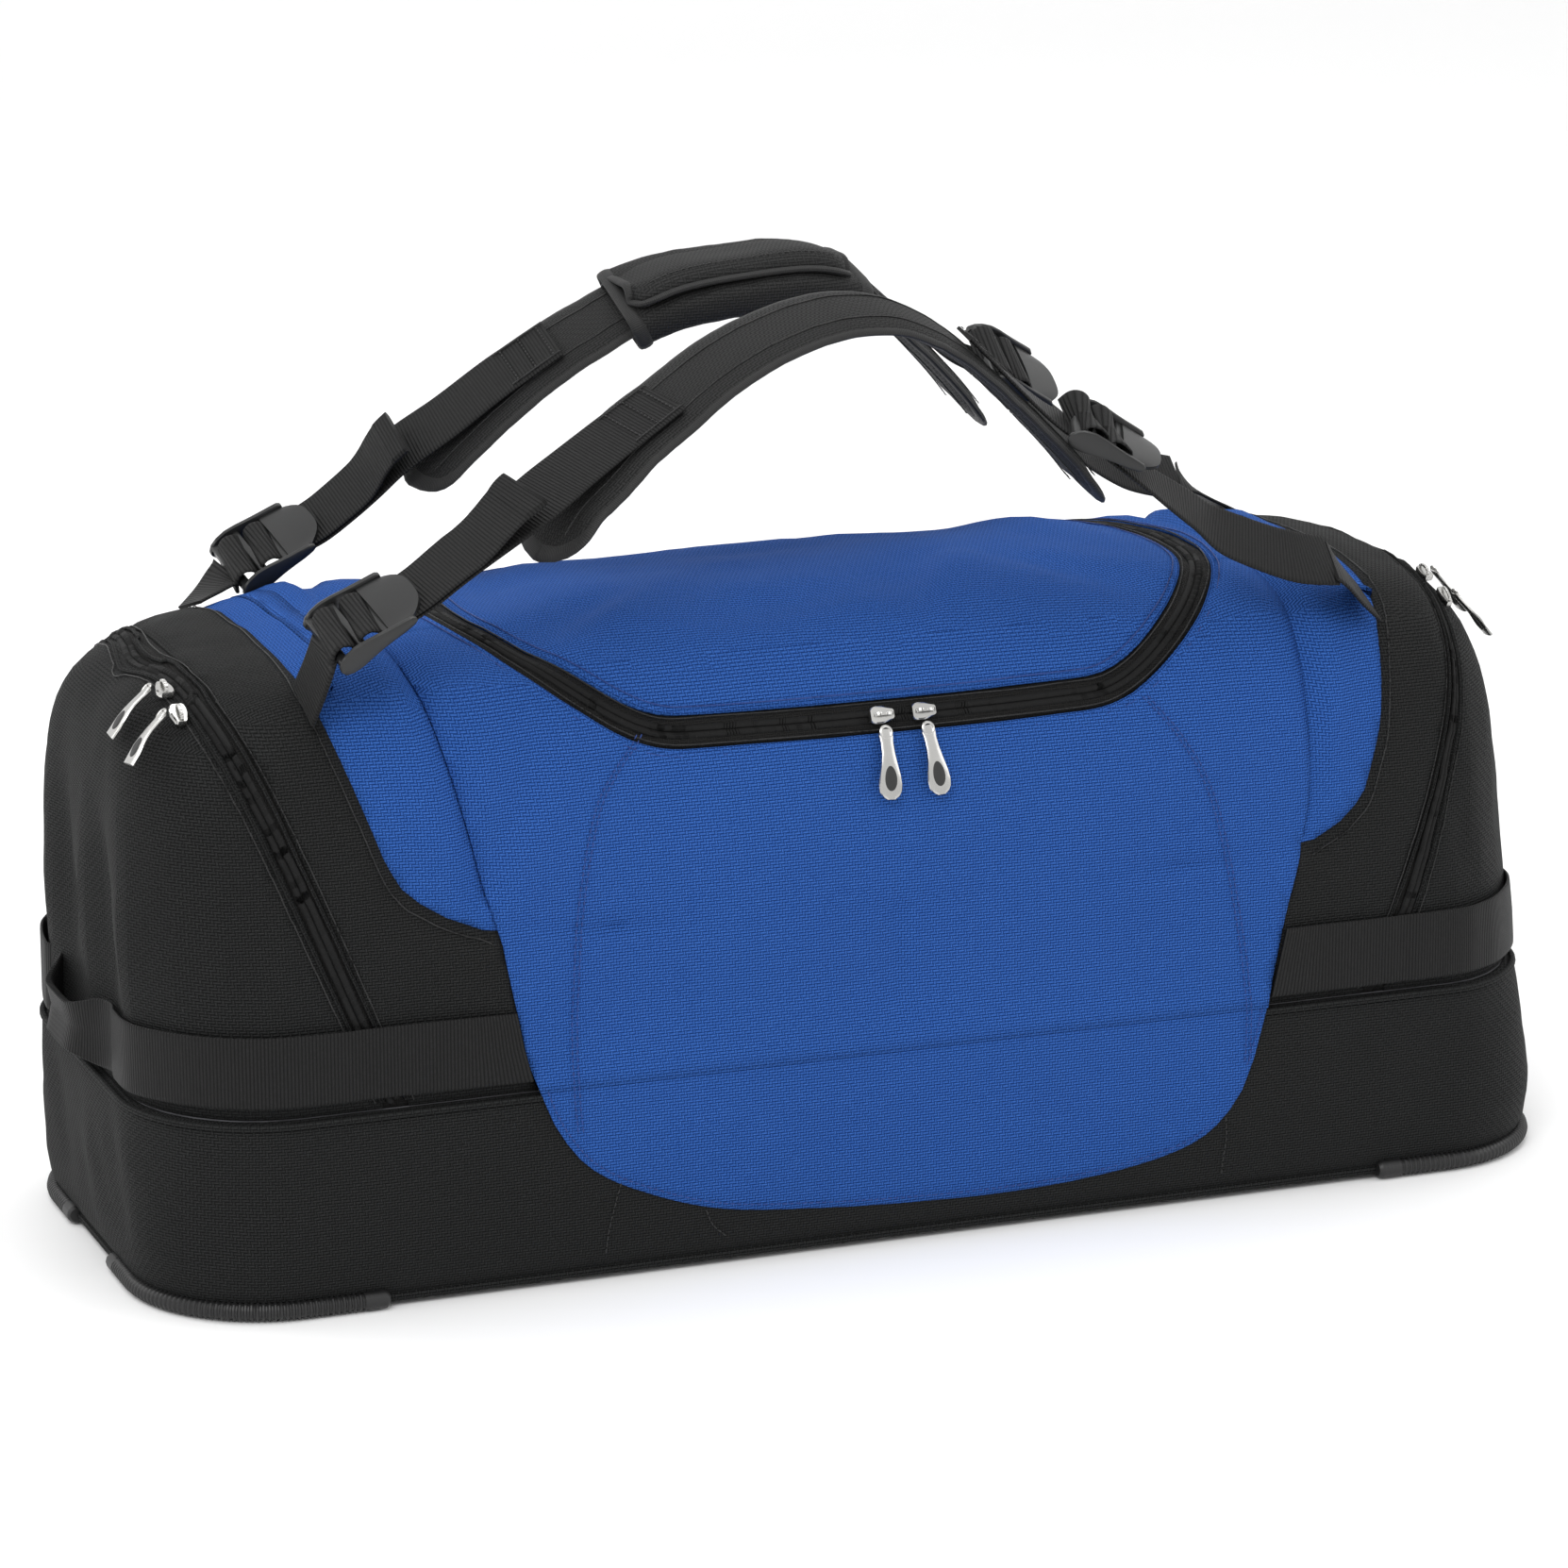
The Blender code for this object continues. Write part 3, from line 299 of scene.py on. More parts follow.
def dome_grid():
    XF = 0.296
    nl = int(128 * FINE); nc = int(22 * FINE); ne = int(12 * FINE) + 2
    th = np.linspace(0, math.pi / 2, 4000)
    yy, zz = B * np.cos(th) ** .5, Z0 + (CROWN - Z0) * np.sin(th) ** .5
    s = np.concatenate([[0], np.cumsum(np.hypot(np.diff(yy), np.diff(zz)))])
    rows = int(74 * FINE)
    sv = np.linspace(0, s[-1], rows)
    zr = np.interp(sv, s, zz); yr = np.interp(sv, s, yy)
    TS = 0.965
    zstar = Z0 + TS * (CROWN - Z0)
    cols_pts = []            # per row (ncol, 3), half y<0 side
    for k in range(rows):
        z = min(zr[k], zstar); a, b = halfs(np.array(z)); a, b = float(a), float(b)
        r = min(CORNER_R - .004, .98 * b)
        P = []
        for j in range(ne + 1):            # left end centre towards the front-left corner
            P.append((-a, -(b - r) * j / ne))
        for j in range(1, nc + 1):
            t = math.pi / 2 * j / nc
            P.append((-(a - r) - r * math.cos(t), -(b - r) - r * math.sin(t)))
        xc = a - r
        nf = 4
        for j in range(1, nf + 1):
            P.append((-(xc + (XF - xc) * j / nf), -b))
        for j in range(1, nl):
            P.append((-XF + 2 * XF * j / nl, -b))
        for j in range(nf + 1):
            P.append((XF + (xc - XF) * j / nf, -b))
        for j in range(1, nc + 1):
            t = math.pi / 2 * (1 - j / nc)
            P.append(((a - r) + r * math.cos(t), -(b - r) - r * math.sin(t)))
        for j in range(1, ne + 1):
            P.append((a, -(b - r) * (1 - j / ne)))
        P = np.array(P)
        if zr[k] > zstar:
            w = 1 - yr[k] / float(halfs(np.array(zstar))[1])
            Q = np.stack([np.clip(P[:, 0], -.345, .345), np.zeros(len(P))], 1)
            P = P * (1 - w) + Q * w
            zc = raw_top(P[:, 0], P[:, 1])
            zc[(np.abs(P[:, 0]) < XF + .001)] = zr[k]
        else:
            zc = np.full(len(P), zr[k])
        P3 = np.column_stack([P, zc])
        P3[:, 2] -= sag(P3[:, 0], P3[:, 1], P3[:, 2])
        cols_pts.append(P3)
    G = np.array(cols_pts)                  # rows, cols, 3
    R, C = G.shape[:2]
    Vf = G.reshape(-1, 3)
    Vb = Vf * np.array([1, -1, 1])
    V = np.vstack([Vf, Vb])
    F = []
    for k in range(R - 1):
        for j in range(C - 1):
            a = k * C + j
            F.append((a, a + 1, a + C + 1, a + C))
    off = R * C
    F += [tuple(off + i for i in reversed(f)) for f in F]
    bm = bmesh.new()
    vs = [bm.verts.new(v) for v in V]
    for f in F:
        try: bm.faces.new([vs[i] for i in f])
        except ValueError: pass
    bmesh.ops.remove_doubles(bm, verts=bm.verts, dist=1e-5)
    bmesh.ops.dissolve_degenerate(bm, edges=bm.edges, dist=1e-5)
    return bm

def cut(bm, g):
    """Splits the faces along g = 0, so a panel's edge runs through vertices."""
    bm.verts.ensure_lookup_table()
    P = np.array([v.co for v in bm.verts]); val = g(P)
    val[np.abs(val) < 2e-4] = 0.0
    bm.verts.index_update()
    new = []
    for e in list(bm.edges):
        i, j = e.verts[0].index, e.verts[1].index
        a, b = val[i], val[j]
        if a * b < 0:
            v0 = e.verts[0]
            _, nv = bmesh.utils.edge_split(e, v0, abs(a) / (abs(a) + abs(b)))
            new.append(nv)
    on = set(new) | {v for v, x in zip(list(bm.verts)[:len(val)], val) if x == 0.0}
    faces = {f for v in on for f in v.link_faces}
    for f in faces:
        vs = [v for v in f.verts if v in on]
        if len(vs) >= 2 and len(f.verts) > 3:
            vl = list(f.verts); n = len(vl)
            for p in range(len(vs)):
                done = False
                for q in range(p + 1, len(vs)):
                    i, j = vl.index(vs[p]), vl.index(vs[q])
                    if (i - j) % n in (1, n - 1): continue
                    try:
                        bmesh.utils.face_split(f, vs[p], vs[q]); done = True
                    except Exception: pass
                    break
                if done: break

def lid_plan(x, y):
    cy, hy = .5 * (LID_Y0 + LID_Y1), .5 * (LID_Y1 - LID_Y0)
    r = LID_R
    qx, qy = np.abs(x) - (LID_X - r), np.abs(y - cy) - (hy - r)
    return np.hypot(np.maximum(qx, 0), np.maximum(qy, 0)) + np.minimum(np.maximum(qx, qy), 0) - r

YT = np.linspace(-B * .999, B * .999, 801)
ZT = top_z(np.zeros(801), YT)
ST = np.concatenate([[0], np.cumsum(np.hypot(np.diff(YT), np.diff(ZT)))])

def lid_dist(P, grow=0.0):
    """Distance to the lid's zip line, measured along the curved top and not in plan."""
    x, y = P[:, 0], P[:, 1]
    d = lid_plan(x, y)
    e = 5e-4
    gx, gy = (lid_plan(x + e, y) - lid_plan(x - e, y)) / (2 * e), (lid_plan(x, y + e) - lid_plan(x, y - e)) / (2 * e)
    g = np.maximum(np.hypot(gx, gy), .3); gx, gy = gx / g, gy / g
    # walk back to the zip line in plan, and take the arc length between the two
    y0 = y - gy * d
    ds = np.abs(np.interp(y, YT, ST) - np.interp(y0, YT, ST))
    dd = np.sign(d) * np.hypot(gx * d, ds)
    dd = np.where(np.abs(d) > .06, d * 1.5, dd)
    dd = np.where(P[:, 2] < 0.22, 1.0, dd)
    return dd - grow

def door_line(z):
    return 0.285 + 0.387 * (z - 0.12)

def seam_x(z, left):
    zs = [.150, .190, .196, .206, .220, .240, .260, .301, .330, .40]
    l = [0, .0, .226, .2500, .2720, .283, .290, .304, .313, .314]
    r = [0, .0, .240, .2600, .2740, .281, .287, .293, .300, .306]
    return np.where(left, np.interp(z, zs, l), np.interp(z, zs, r))

g_seam = lambda P: np.abs(P[:, 0]) - seam_x(P[:, 2], P[:, 0] < 0)
g_door = lambda P, s=0.0: (np.abs(P[:, 0]) - door_line(P[:, 2])) / 1.07 - s

def crease_x(z, left):
    """Fold line in the blue shoulder panels, from the top down to the gusset seam."""
    return np.where(left, -np.interp(z, [.20, .212, .253, .314, .345, .37], [.226, .229, .238, .252, .262, .262]),
                    np.interp(z, [.185, .22, .331, .35, .37], [.236, .246, .244, .243, .243]))

def displace(P, N):
    """Sag, folds and seams of the filled fabric: the same field for every panel, so neighbours stay joined."""
    x, y, z = P[:, 0], P[:, 1], P[:, 2]
    d = 0.0016 * noise3(P, 0.16, 3) + 0.0007 * noise3(P * np.array([1, 1, .6]), 0.055, 8)
    tz = (z - Z0) / (CROWN - Z0)
    hold = sstep(z, Z0, Z0 + .03)
    d += .0042 * (1 - sstep(z, Z0, Z0 + .040))
    # drawn-in lines at the seams, with the fabric swelling between them
    for g, dep, w in ((g_seam(P), .0016, .004), (g_door(P, .0066), .0014, .0028), (g_door(P, -.0066), .0014, .0028),
                      (lid_dist(P, .0102), .0016, .003), (lid_dist(P, -.0102), .0016, .003)):
        d -= dep * np.exp(-(g / w) ** 2)
    sw = np.clip(np.abs(g_seam(P)) / .05, 0, 1) * np.clip(np.abs(lid_dist(P, 0)) / .06, 0, 1)
    d += .0020 * sw * hold
    # folds in the blue shoulders
    for left in (True, False):
        m = (x < 0) if left else (x > 0)
        cx = crease_x(z, left)
        q = x - cx
        depth = .0050 * sstep(z, .19, .25) * (1 - .55 * sstep(z, .335, .36))
        sgn = 1 if left else -1
        prof = -np.exp(-(q / .006) ** 2) + .75 * np.exp(-((q - sgn * -.016) / .012) ** 2) + .35 * np.exp(-((q - sgn * .022) / .016) ** 2)
        d += np.where(m, depth * prof, 0)
    # upright folds over the end bands, strongest just above the webbing
    e = sstep(np.abs(x), .375, .402)
    up = np.exp(-((z - .19) / .055) ** 2) * e
    for yc, w, h in ((-.085, .013, .0042), (-.045, .012, -.0048), (-.012, .014, .0050), (.030, .013, -.0040), (.062, .014, .0045), (.098, .012, -.003)):
        d += up * h * np.exp(-((y - yc - .10 * (z - .19)) / w) ** 2)
    # the front gussets draw in towards the band
    d -= .0030 * np.exp(-((z - .205) / .05) ** 2) * sstep(np.abs(x), .29, .33) * (1 - e)
    # soft dents and drape lines on the lid and top
    for (cx, cy, ang, ln, w, h) in ((-.150, -.060, 35, .050, .012, -.0045), (-.118, -.050, 40, .060, .014, .0030), (.047, -.045, 60, .045, .013, -.0035),
                                   (.075, -.040, 62, .050, .015, .0026), (-.040, -.070, 15, .070, .012, -.0020), (.140, -.060, -40, .050, .012, -.0035),
                                   (.165, .020, -70, .060, .015, .0030), (-.170, .030, 70, .060, .014, -.0030), (.0, .040, 5, .110, .018, -.0025),
                                   (-.245, -.02, 80, .05, .010, -.0030), (.262, -.03, 82, .06, .012, -.0030), (.285, .04, 75, .05, .012, .0022)):
        c, s = math.cos(math.radians(ang)), math.sin(math.radians(ang))
        u, v = (x - cx) * c + (y - cy) * s, -(x - cx) * s + (y - cy) * c
        d += 1.45 * h * np.exp(-(u / ln) ** 2 - (v / (w * 1.15)) ** 2) * sstep(z, .255, .295)
    # long shallow drapes falling from the lid's front corners down the front and from the shoulders
    for (cx, cz, ang, ln, w, h, side) in ((-.215, .255, 62, .055, .009, -.0032, -1), (-.200, .240, 58, .060, .010, .0022, -1), (.225, .250, -70, .055, .010, -.0025, -1),
                                         (.265, .235, 80, .040, .009, -.0030, -1), (.252, .262, 75, .040, .008, .0024, -1), (-.285, .22, 60, .04, .010, -.0020, -1),
                                         (-.05, .22, 10, .16, .020, -.0022, 1), (.12, .18, -12, .13, .020, .0020, 1), (-.20, .25, 65, .06, .011, -.003, 1),
                                         (.20, .25, -65, .06, .011, -.003, 1), (-.33, .19, 78, .05, .011, -.0034, 1), (.33, .19, -78, .05, .011, -.0034, 1),
                                         (.345, .20, -80, .05, .010, -.0032, -1), (-.352, .20, 80, .05, .010, -.0026, -1)):
        c, s = math.cos(math.radians(ang)), math.sin(math.radians(ang))
        u, v = (x - cx) * c + (z - cz) * s, -(x - cx) * s + (z - cz) * c
        d += h * np.exp(-(u / ln) ** 2 - (v / w) ** 2) * (np.sign(y) == side) * sstep(np.abs(y), .06, .10)
    d = np.clip(d, -.0075, .0075)
    return P + N * (d * (0.25 + 0.75 * hold))[:, None]

# ------------------------------------------------------------------ cut the dome into its sewn panels
def cover_lr(z):
    l = -np.interp(z, [.100, .109, .125, .16, .191, .213, .253, .316, .345], [.2005, .2040, .2100, .2170, .2230, .2290, .238, .252, .262])
    r = np.interp(z, [.100, .125, .16, .191, .22, .33, .36], [.2125, .218, .226, .234, .2405, .245, .245])
    return l, r
def g_cover(P):
    l, r = cover_lr(P[:, 2])
    return np.where(P[:, 1] < 0, np.maximum(l - P[:, 0], P[:, 0] - r), 1.0)

bm = dome_grid()
for g in (lambda P: lid_dist(P, .0098), lambda P: lid_dist(P, 0), lambda P: lid_dist(P, -.0098), g_cover, g_seam,
          lambda P: g_door(P, -.0062), lambda P: g_door(P, 0.0), lambda P: g_door(P, .0062), lambda P: P[:, 1] + .06):
    cut(bm, g)
bm.verts.index_update()
RV = np.array([v.co for v in bm.verts])
RF = [[v.index for v in f.verts] for f in bm.faces]
bm.free()
RN = vnormals(RV, RF)
if (RN[:, 2][RV[:, 2] > .34]).mean() < 0:
    RF = [list(reversed(f)) for f in RF]
    RN = -RN
DV = displace(RV, RN)
CEN = np.array([RV[f].mean(axis=0) for f in RF])
dl, gs, gd, gc = lid_dist(CEN), g_seam(CEN), g_door(CEN), g_cover(CEN)
lab = np.full(len(RF), "", dtype=object)
for i in range(len(RF)):
    if dl[i] < -.0098: lab[i] = "lid"
    elif dl[i] < 0: lab[i] = "tape_lid"
    elif dl[i] < .0098: lab[i] = "tape_body"
    elif gs[i] < 0:
        lab[i] = "cover" if (gc[i] < 0 and CEN[i, 1] < -.06) else "centre"
    elif gd[i] < -.0062: lab[i] = "gusset_l" if CEN[i, 0] < 0 else "gusset_r"
    elif gd[i] < 0: lab[i] = "etb_l" if CEN[i, 0] < 0 else "etb_r"
    elif gd[i] < .0062: lab[i] = "etd_l" if CEN[i, 0] < 0 else "etd_r"
    else: lab[i] = "end_l" if CEN[i, 0] < 0 else "end_r"
cov_all = (gc < 0) & (CEN[:, 1] < -.06) & (dl > .0098)
lab[cov_all] = "cover"

def panel(key, name, m, t, lift=0.0, body=None, fn=None):
    idx = [i for i in range(len(RF)) if lab[i] == key]
    used = sorted({v for i in idx for v in RF[i]})
    mp = {v: k for k, v in enumerate(used)}
    V = DV[used] + RN[used] * lift
    if fn is not None: V = fn(V, RV[used], RN[used])
    F = [[mp[v] for v in RF[i]] for i in idx]
    W, G = thicken(V, F, t, RN[used])
    return mesh_obj(name, W, G, m, body)

def cover_fn(V, R, N):
    up = .0012 * sstep(-R[:, 1], .07, .10)
    V = V + N * up[:, None]
    ramp = 1 - sstep(R[:, 2], .108, .134)
    V[:, 1] = V[:, 1] * (1 - ramp) + ramp * -(HALF_D + .0016)
    return V

centre = panel("centre", "centre_panels", M_BLUE, .0024, 0, "root"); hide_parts("centre_shell")
cover = panel("cover", "front_cover", M_BLUE, .0016, 0, "root", cover_fn)
lid = panel("lid", "lid_top_panel", M_BLUE, .0024, .0012, "lid"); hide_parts("lid_panel")
tl = panel("tape_lid", "zip_tape_lid", M_TAPE, .0014, -.0006, "lid"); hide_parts("lid_zip_tape_lid_side")
tb = panel("tape_body", "zip_tape_body", M_TAPE, .0014, -.0006, "root"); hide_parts("lid_zip_tape_body_side")
for s, nm, sx in (("l", "left", -1), ("r", "right", 1)):
    g = panel("gusset_" + s, "gusset_panel_" + nm, M_BLACK, .0022, 0, "root"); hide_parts("gusset_" + nm)
    o = panel("etb_" + s, "end_tape_body_" + nm, M_TAPE, .0014, -.0008, "root")
    o = panel("etd_" + s, "end_tape_door_" + nm, M_TAPE, .0014, -.0008)
    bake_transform(o)
    o = panel("end_" + s, "end_panel_" + nm, M_BLACK, .0022, 0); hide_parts("end_door_" + nm)
    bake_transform(o)

# ------------------------------------------------------------------ surface lookup for trim that lies on the fabric
from mathutils.bvhtree import BVHTree
TREE = BVHTree.FromPolygons([Vector(v) for v in DV], RF)
COVTREE = None
def on_surface(p, off=0.0):
    loc, nor, i, d = TREE.find_nearest(Vector(p))
    n = Vector(RN[RF[i][0]])
    if nor.dot(n) < 0: nor = -nor
    return np.array(loc) + np.array(nor) * off, np.array(nor)

def curve_on(fn, n, off):
    """Points and normals of a line drawn on the fabric: fn(t) gives a rest point."""
    P, N = [], []
    for k in range(n + 1):
        p, nn = on_surface(fn(k / n), off)
        P.append(p); N.append(nn)
    P, N = np.array(P), np.array(N)
    for _ in range(2):
        N[1:-1] = (N[:-2] + N[1:-1] + N[2:]) / 3
    return P, N / np.linalg.norm(N, axis=1, keepdims=True)

def resample(P, step):
    P = np.asarray(P, float)
    s = np.concatenate([[0], np.cumsum(np.linalg.norm(np.diff(P, axis=0), axis=1))])
    n = max(2, int(round(s[-1] / step)))
    t = np.linspace(0, s[-1], n + 1)
    return np.stack([np.interp(t, s, P[:, k]) for k in range(P.shape[1])], 1), t

def catmull(pts, per=10):
    P = [np.array(p, float) for p in pts]
    P = [2 * P[0] - P[1]] + P + [2 * P[-1] - P[-2]]
    out = []
    for i in range(1, len(P) - 2):
        a, b, c, d = P[i - 1:i + 3]
        for j in range(per):
            t = j / per
            out.append(.5 * (2 * b + (c - a) * t + (2 * a - 5 * b + 4 * c - d) * t * t + (3 * b - a - 3 * c + d) * t ** 3))
    out.append(P[-2])
    return np.array(out)

def frames(P, W, closed=False):
    """Tangents, width directions and normals along a path; W is one width direction or one for each point."""
    T = np.gradient(P, axis=0) if not closed else np.roll(P, -1, 0) - np.roll(P, 1, 0)
    T /= np.linalg.norm(T, axis=1, keepdims=True)
    W = np.broadcast_to(np.asarray(W, float), P.shape).copy()
    W -= T * (W * T).sum(1, keepdims=True)
    W /= np.linalg.norm(W, axis=1, keepdims=True)
    return T, W, np.cross(T, W)

def sweep(name, P, W, sec, m, body=None, closed=False, scale=None, cap=True, uvs=None, smooth=True, sharp=40):
    """Sweep of a closed section (list of (width, normal) pairs, or a function of the point index) along P."""
    P = np.asarray(P, float)
    T, Wd, Nn = frames(P, W, closed)
    V, uv, F = [], [], []
    s = np.concatenate([[0], np.cumsum(np.linalg.norm(np.diff(P, axis=0), axis=1))])
    k = None
    for i in range(len(P)):
        S = sec(i) if callable(sec) else sec
        k = len(S)
        per = 0.0
        for j, (a, b) in enumerate(S):
            V.append(P[i] + Wd[i] * a + Nn[i] * b)
            uv.append((s[i], a + (0.003 if b > 0 else 0)))
    n = len(P)
    for i in range(n - 1 if not closed else n):
        for j in range(k):
            a, b = i * k + j, i * k + (j + 1) % k
            c, d = ((i + 1) % n) * k + (j + 1) % k, ((i + 1) % n) * k + j
            F.append((a, d, c, b))
    if cap and not closed:
        F.append(tuple(range(k)))
        F.append(tuple((n - 1) * k + j for j in reversed(range(k))))
    return mesh_obj(name, V, F, m, body, np.array(uv), smooth, sharp)

def flat_sec(w, t, e=None):
    """Webbing section: flat, with rounded selvedges."""
    h, q = w / 2, t / 2
    e = e or t * .9
    return [(-h, -q * .3), (-h + e * .4, -q * .9), (-h + e * 1.4, -q), (0, -q * .96), (h - e * 1.4, -q), (h - e * .4, -q * .9), (h, -q * .3),
            (h, q * .3), (h - e * .4, q * .9), (h - e * 1.4, q), (0, q * .96), (-h + e * 1.4, q), (-h + e * .4, q * .9), (-h, q * .3)]

def stitches(name, P, N, m, body, pitch=.0038, ln=.0028, r=.00034, side=None):
    """Row of sewn thread dashes lying on the fabric."""
    Q, t = resample(np.hstack([P, N]), pitch)
    Pp, Nn = Q[:, :3], Q[:, 3:]
    V, F = [], []
    for i in range(len(Pp) - 1):
        d = Pp[i + 1] - Pp[i]; L = np.linalg.norm(d)
        if L < 1e-6: continue
        d /= L
        n = Nn[i] / np.linalg.norm(Nn[i]); w = np.cross(d, n)
        a = Pp[i] + d * (L - ln) / 2
        b0 = len(V)
        for u, h, k in ((0, -.0002, .4), (.22, .00022, 1), (.78, .00022, 1), (1, -.0002, .4)):
            c = a + d * ln * u + n * h
            for x, y in ((1, 0), (.5, .8), (-.5, .8), (-1, 0), (-.5, -.6), (.5, -.6)):
                V.append(c + (w * x + n * y) * r * k)
        for q in range(3):
            for j in range(6):
                e = b0 + q * 6
                F.append((e + j, e + (j + 1) % 6, e + 6 + (j + 1) % 6, e + 6 + j))
        F.append(tuple(b0 + j for j in reversed(range(6)))); F.append(tuple(b0 + 18 + j for j in range(6)))
    o = mesh_obj(name, V, F, m, body)
    return o

def teeth(name, P, N, W, m, body, sgn, pitch=.0022):
    """One row of nylon coil: bars across the chain, raised over the tape."""
    Q, t = resample(np.hstack([P, N, W]), pitch)
    Pp, Nn, Ww = Q[:, :3], Q[:, 3:6], Q[:, 6:]
    V, F = [], []
    for i in range(len(Pp) - 1):
        d = Pp[i + 1] - Pp[i]; d /= np.linalg.norm(d)
        n = Nn[i] / np.linalg.norm(Nn[i]); w = Ww[i] / np.linalg.norm(Ww[i]) * sgn
        c = Pp[i] + (d * pitch * .5 if sgn > 0 else 0)
        b0 = len(V)
        for u, h, k in ((-.0004, .0004, .6), (.0003, .0011, 1), (.0018, .0013, 1), (.0030, .0009, .9), (.0034, .0001, .6)):
            q = c + w * u + n * h + d * u * .22
            for x, y in ((1, -.2), (.6, .8), (-.6, .8), (-1, -.2), (-.5, -1), (.5, -1)):
                V.append(q + (d * x + n * y) * .00072 * k)
        for q in range(4):
            for j in range(6):
                e = b0 + q * 6
                F.append((e + j, e + (j + 1) % 6, e + 6 + (j + 1) % 6, e + 6 + j))
        F.append(tuple(b0 + j for j in reversed(range(6)))); F.append(tuple(b0 + 24 + j for j in range(6)))
    return mesh_obj(name, V, F, m, body)

# ------------------------------------------------------------------ lid zip: coil, binding edges, stitching
def lid_loop(grow, n=260, a0=0.0, a1=1.0):
    cy, hy = .5 * (LID_Y0 + LID_Y1), .5 * (LID_Y1 - LID_Y0)
    a, b, r = LID_X + grow, hy + grow, LID_R + grow
    pts = []
    for cx, cyy, t0 in ((a - r, b - r, 0), (-(a - r), b - r, 90), (-(a - r), -(b - r), 180), (a - r, -(b - r), 270)):
        for j in range(17):
            t = math.radians(t0 + 90 * j / 16)
            pts.append((cx + r * math.cos(t), cyy + cy + r * math.sin(t)))
    pts.append(pts[0])
    P, t = resample(np.array(pts), .004)
    return P
def loop_on(grow, off):
    L = lid_loop(0.0)
    z = top_z(L[:, 0], L[:, 1])
    Q = np.column_stack([L, z])
    T0 = np.roll(Q[:-1], -1, 0) - np.roll(Q[:-1], 1, 0); T0 = np.vstack([T0, T0[:1]])
    T0 /= np.linalg.norm(T0, axis=1, keepdims=True)
    P, N = [], []
    for q, t in zip(Q, T0):
        p, n = on_surface(q, 0)
        w = np.cross(t, n); w /= np.linalg.norm(w)
        p, n = on_surface(q + w * grow, off); P.append(p); N.append(n)
    P, N = np.array(P), np.array(N)
    for _ in range(3):
        P[1:-1] = (P[:-2] + 2 * P[1:-1] + P[2:]) / 4
        N = (np.roll(N, 1, 0) + N + np.roll(N, -1, 0)) / 3
    N /= np.linalg.norm(N, axis=1, keepdims=True)
    T = np.gradient(P, axis=0); T /= np.linalg.norm(T, axis=1, keepdims=True)
    W = np.cross(T, N)            # points away from the lid's middle for an anticlockwise loop
    return P, N, W
def open_arc(P, N, W):
    """Leaves out the hinge run at the back, where the lid is sewn down."""
    keep = ~((P[:, 1] > .078) & (np.abs(P[:, 0]) < .135))
    i0 = int(np.argmax(~keep)); n = len(P)
    order = np.arange(i0, i0 + n) % n
    order = [i for i in order if keep[i]]
    return P[order], N[order], W[order]

cP, cN, cW = open_arc(*loop_on(0.0, -.0011))
o = teeth("lid_zip_coil_body", cP + cW * .0004, cN, cW, M_COIL, "root", 1)
o = teeth("lid_zip_coil_lid", cP - cW * .0004, cN, cW, M_COIL, "lid", -1)
for gr, body, nm in ((.0100, "root", "body"), (-.0100, "lid", "lid")):
    P, N, W = loop_on(gr, .0006)
    o = sweep("lid_zip_edge_" + nm, P, W, [(.0011 * math.cos(t), .0011 * math.sin(t)) for t in np.linspace(0, 2 * math.pi, 9)[:-1]], M_BLUE, body)
for gr, body, nm, m in ((.0135, "root", "body_outer", M_THREAD_B), (-.0135, "lid", "lid_inner", M_THREAD_B), (.0068, "root", "tape_body", M_THREAD_K), (-.0068, "lid", "tape_lid", M_THREAD_K)):
    P, N, W = loop_on(gr, .0012 if abs(gr) < .012 else .0006 + (.0012 if gr < 0 else 0))
    stitches("lid_stitch_" + nm, P, N, m, body)

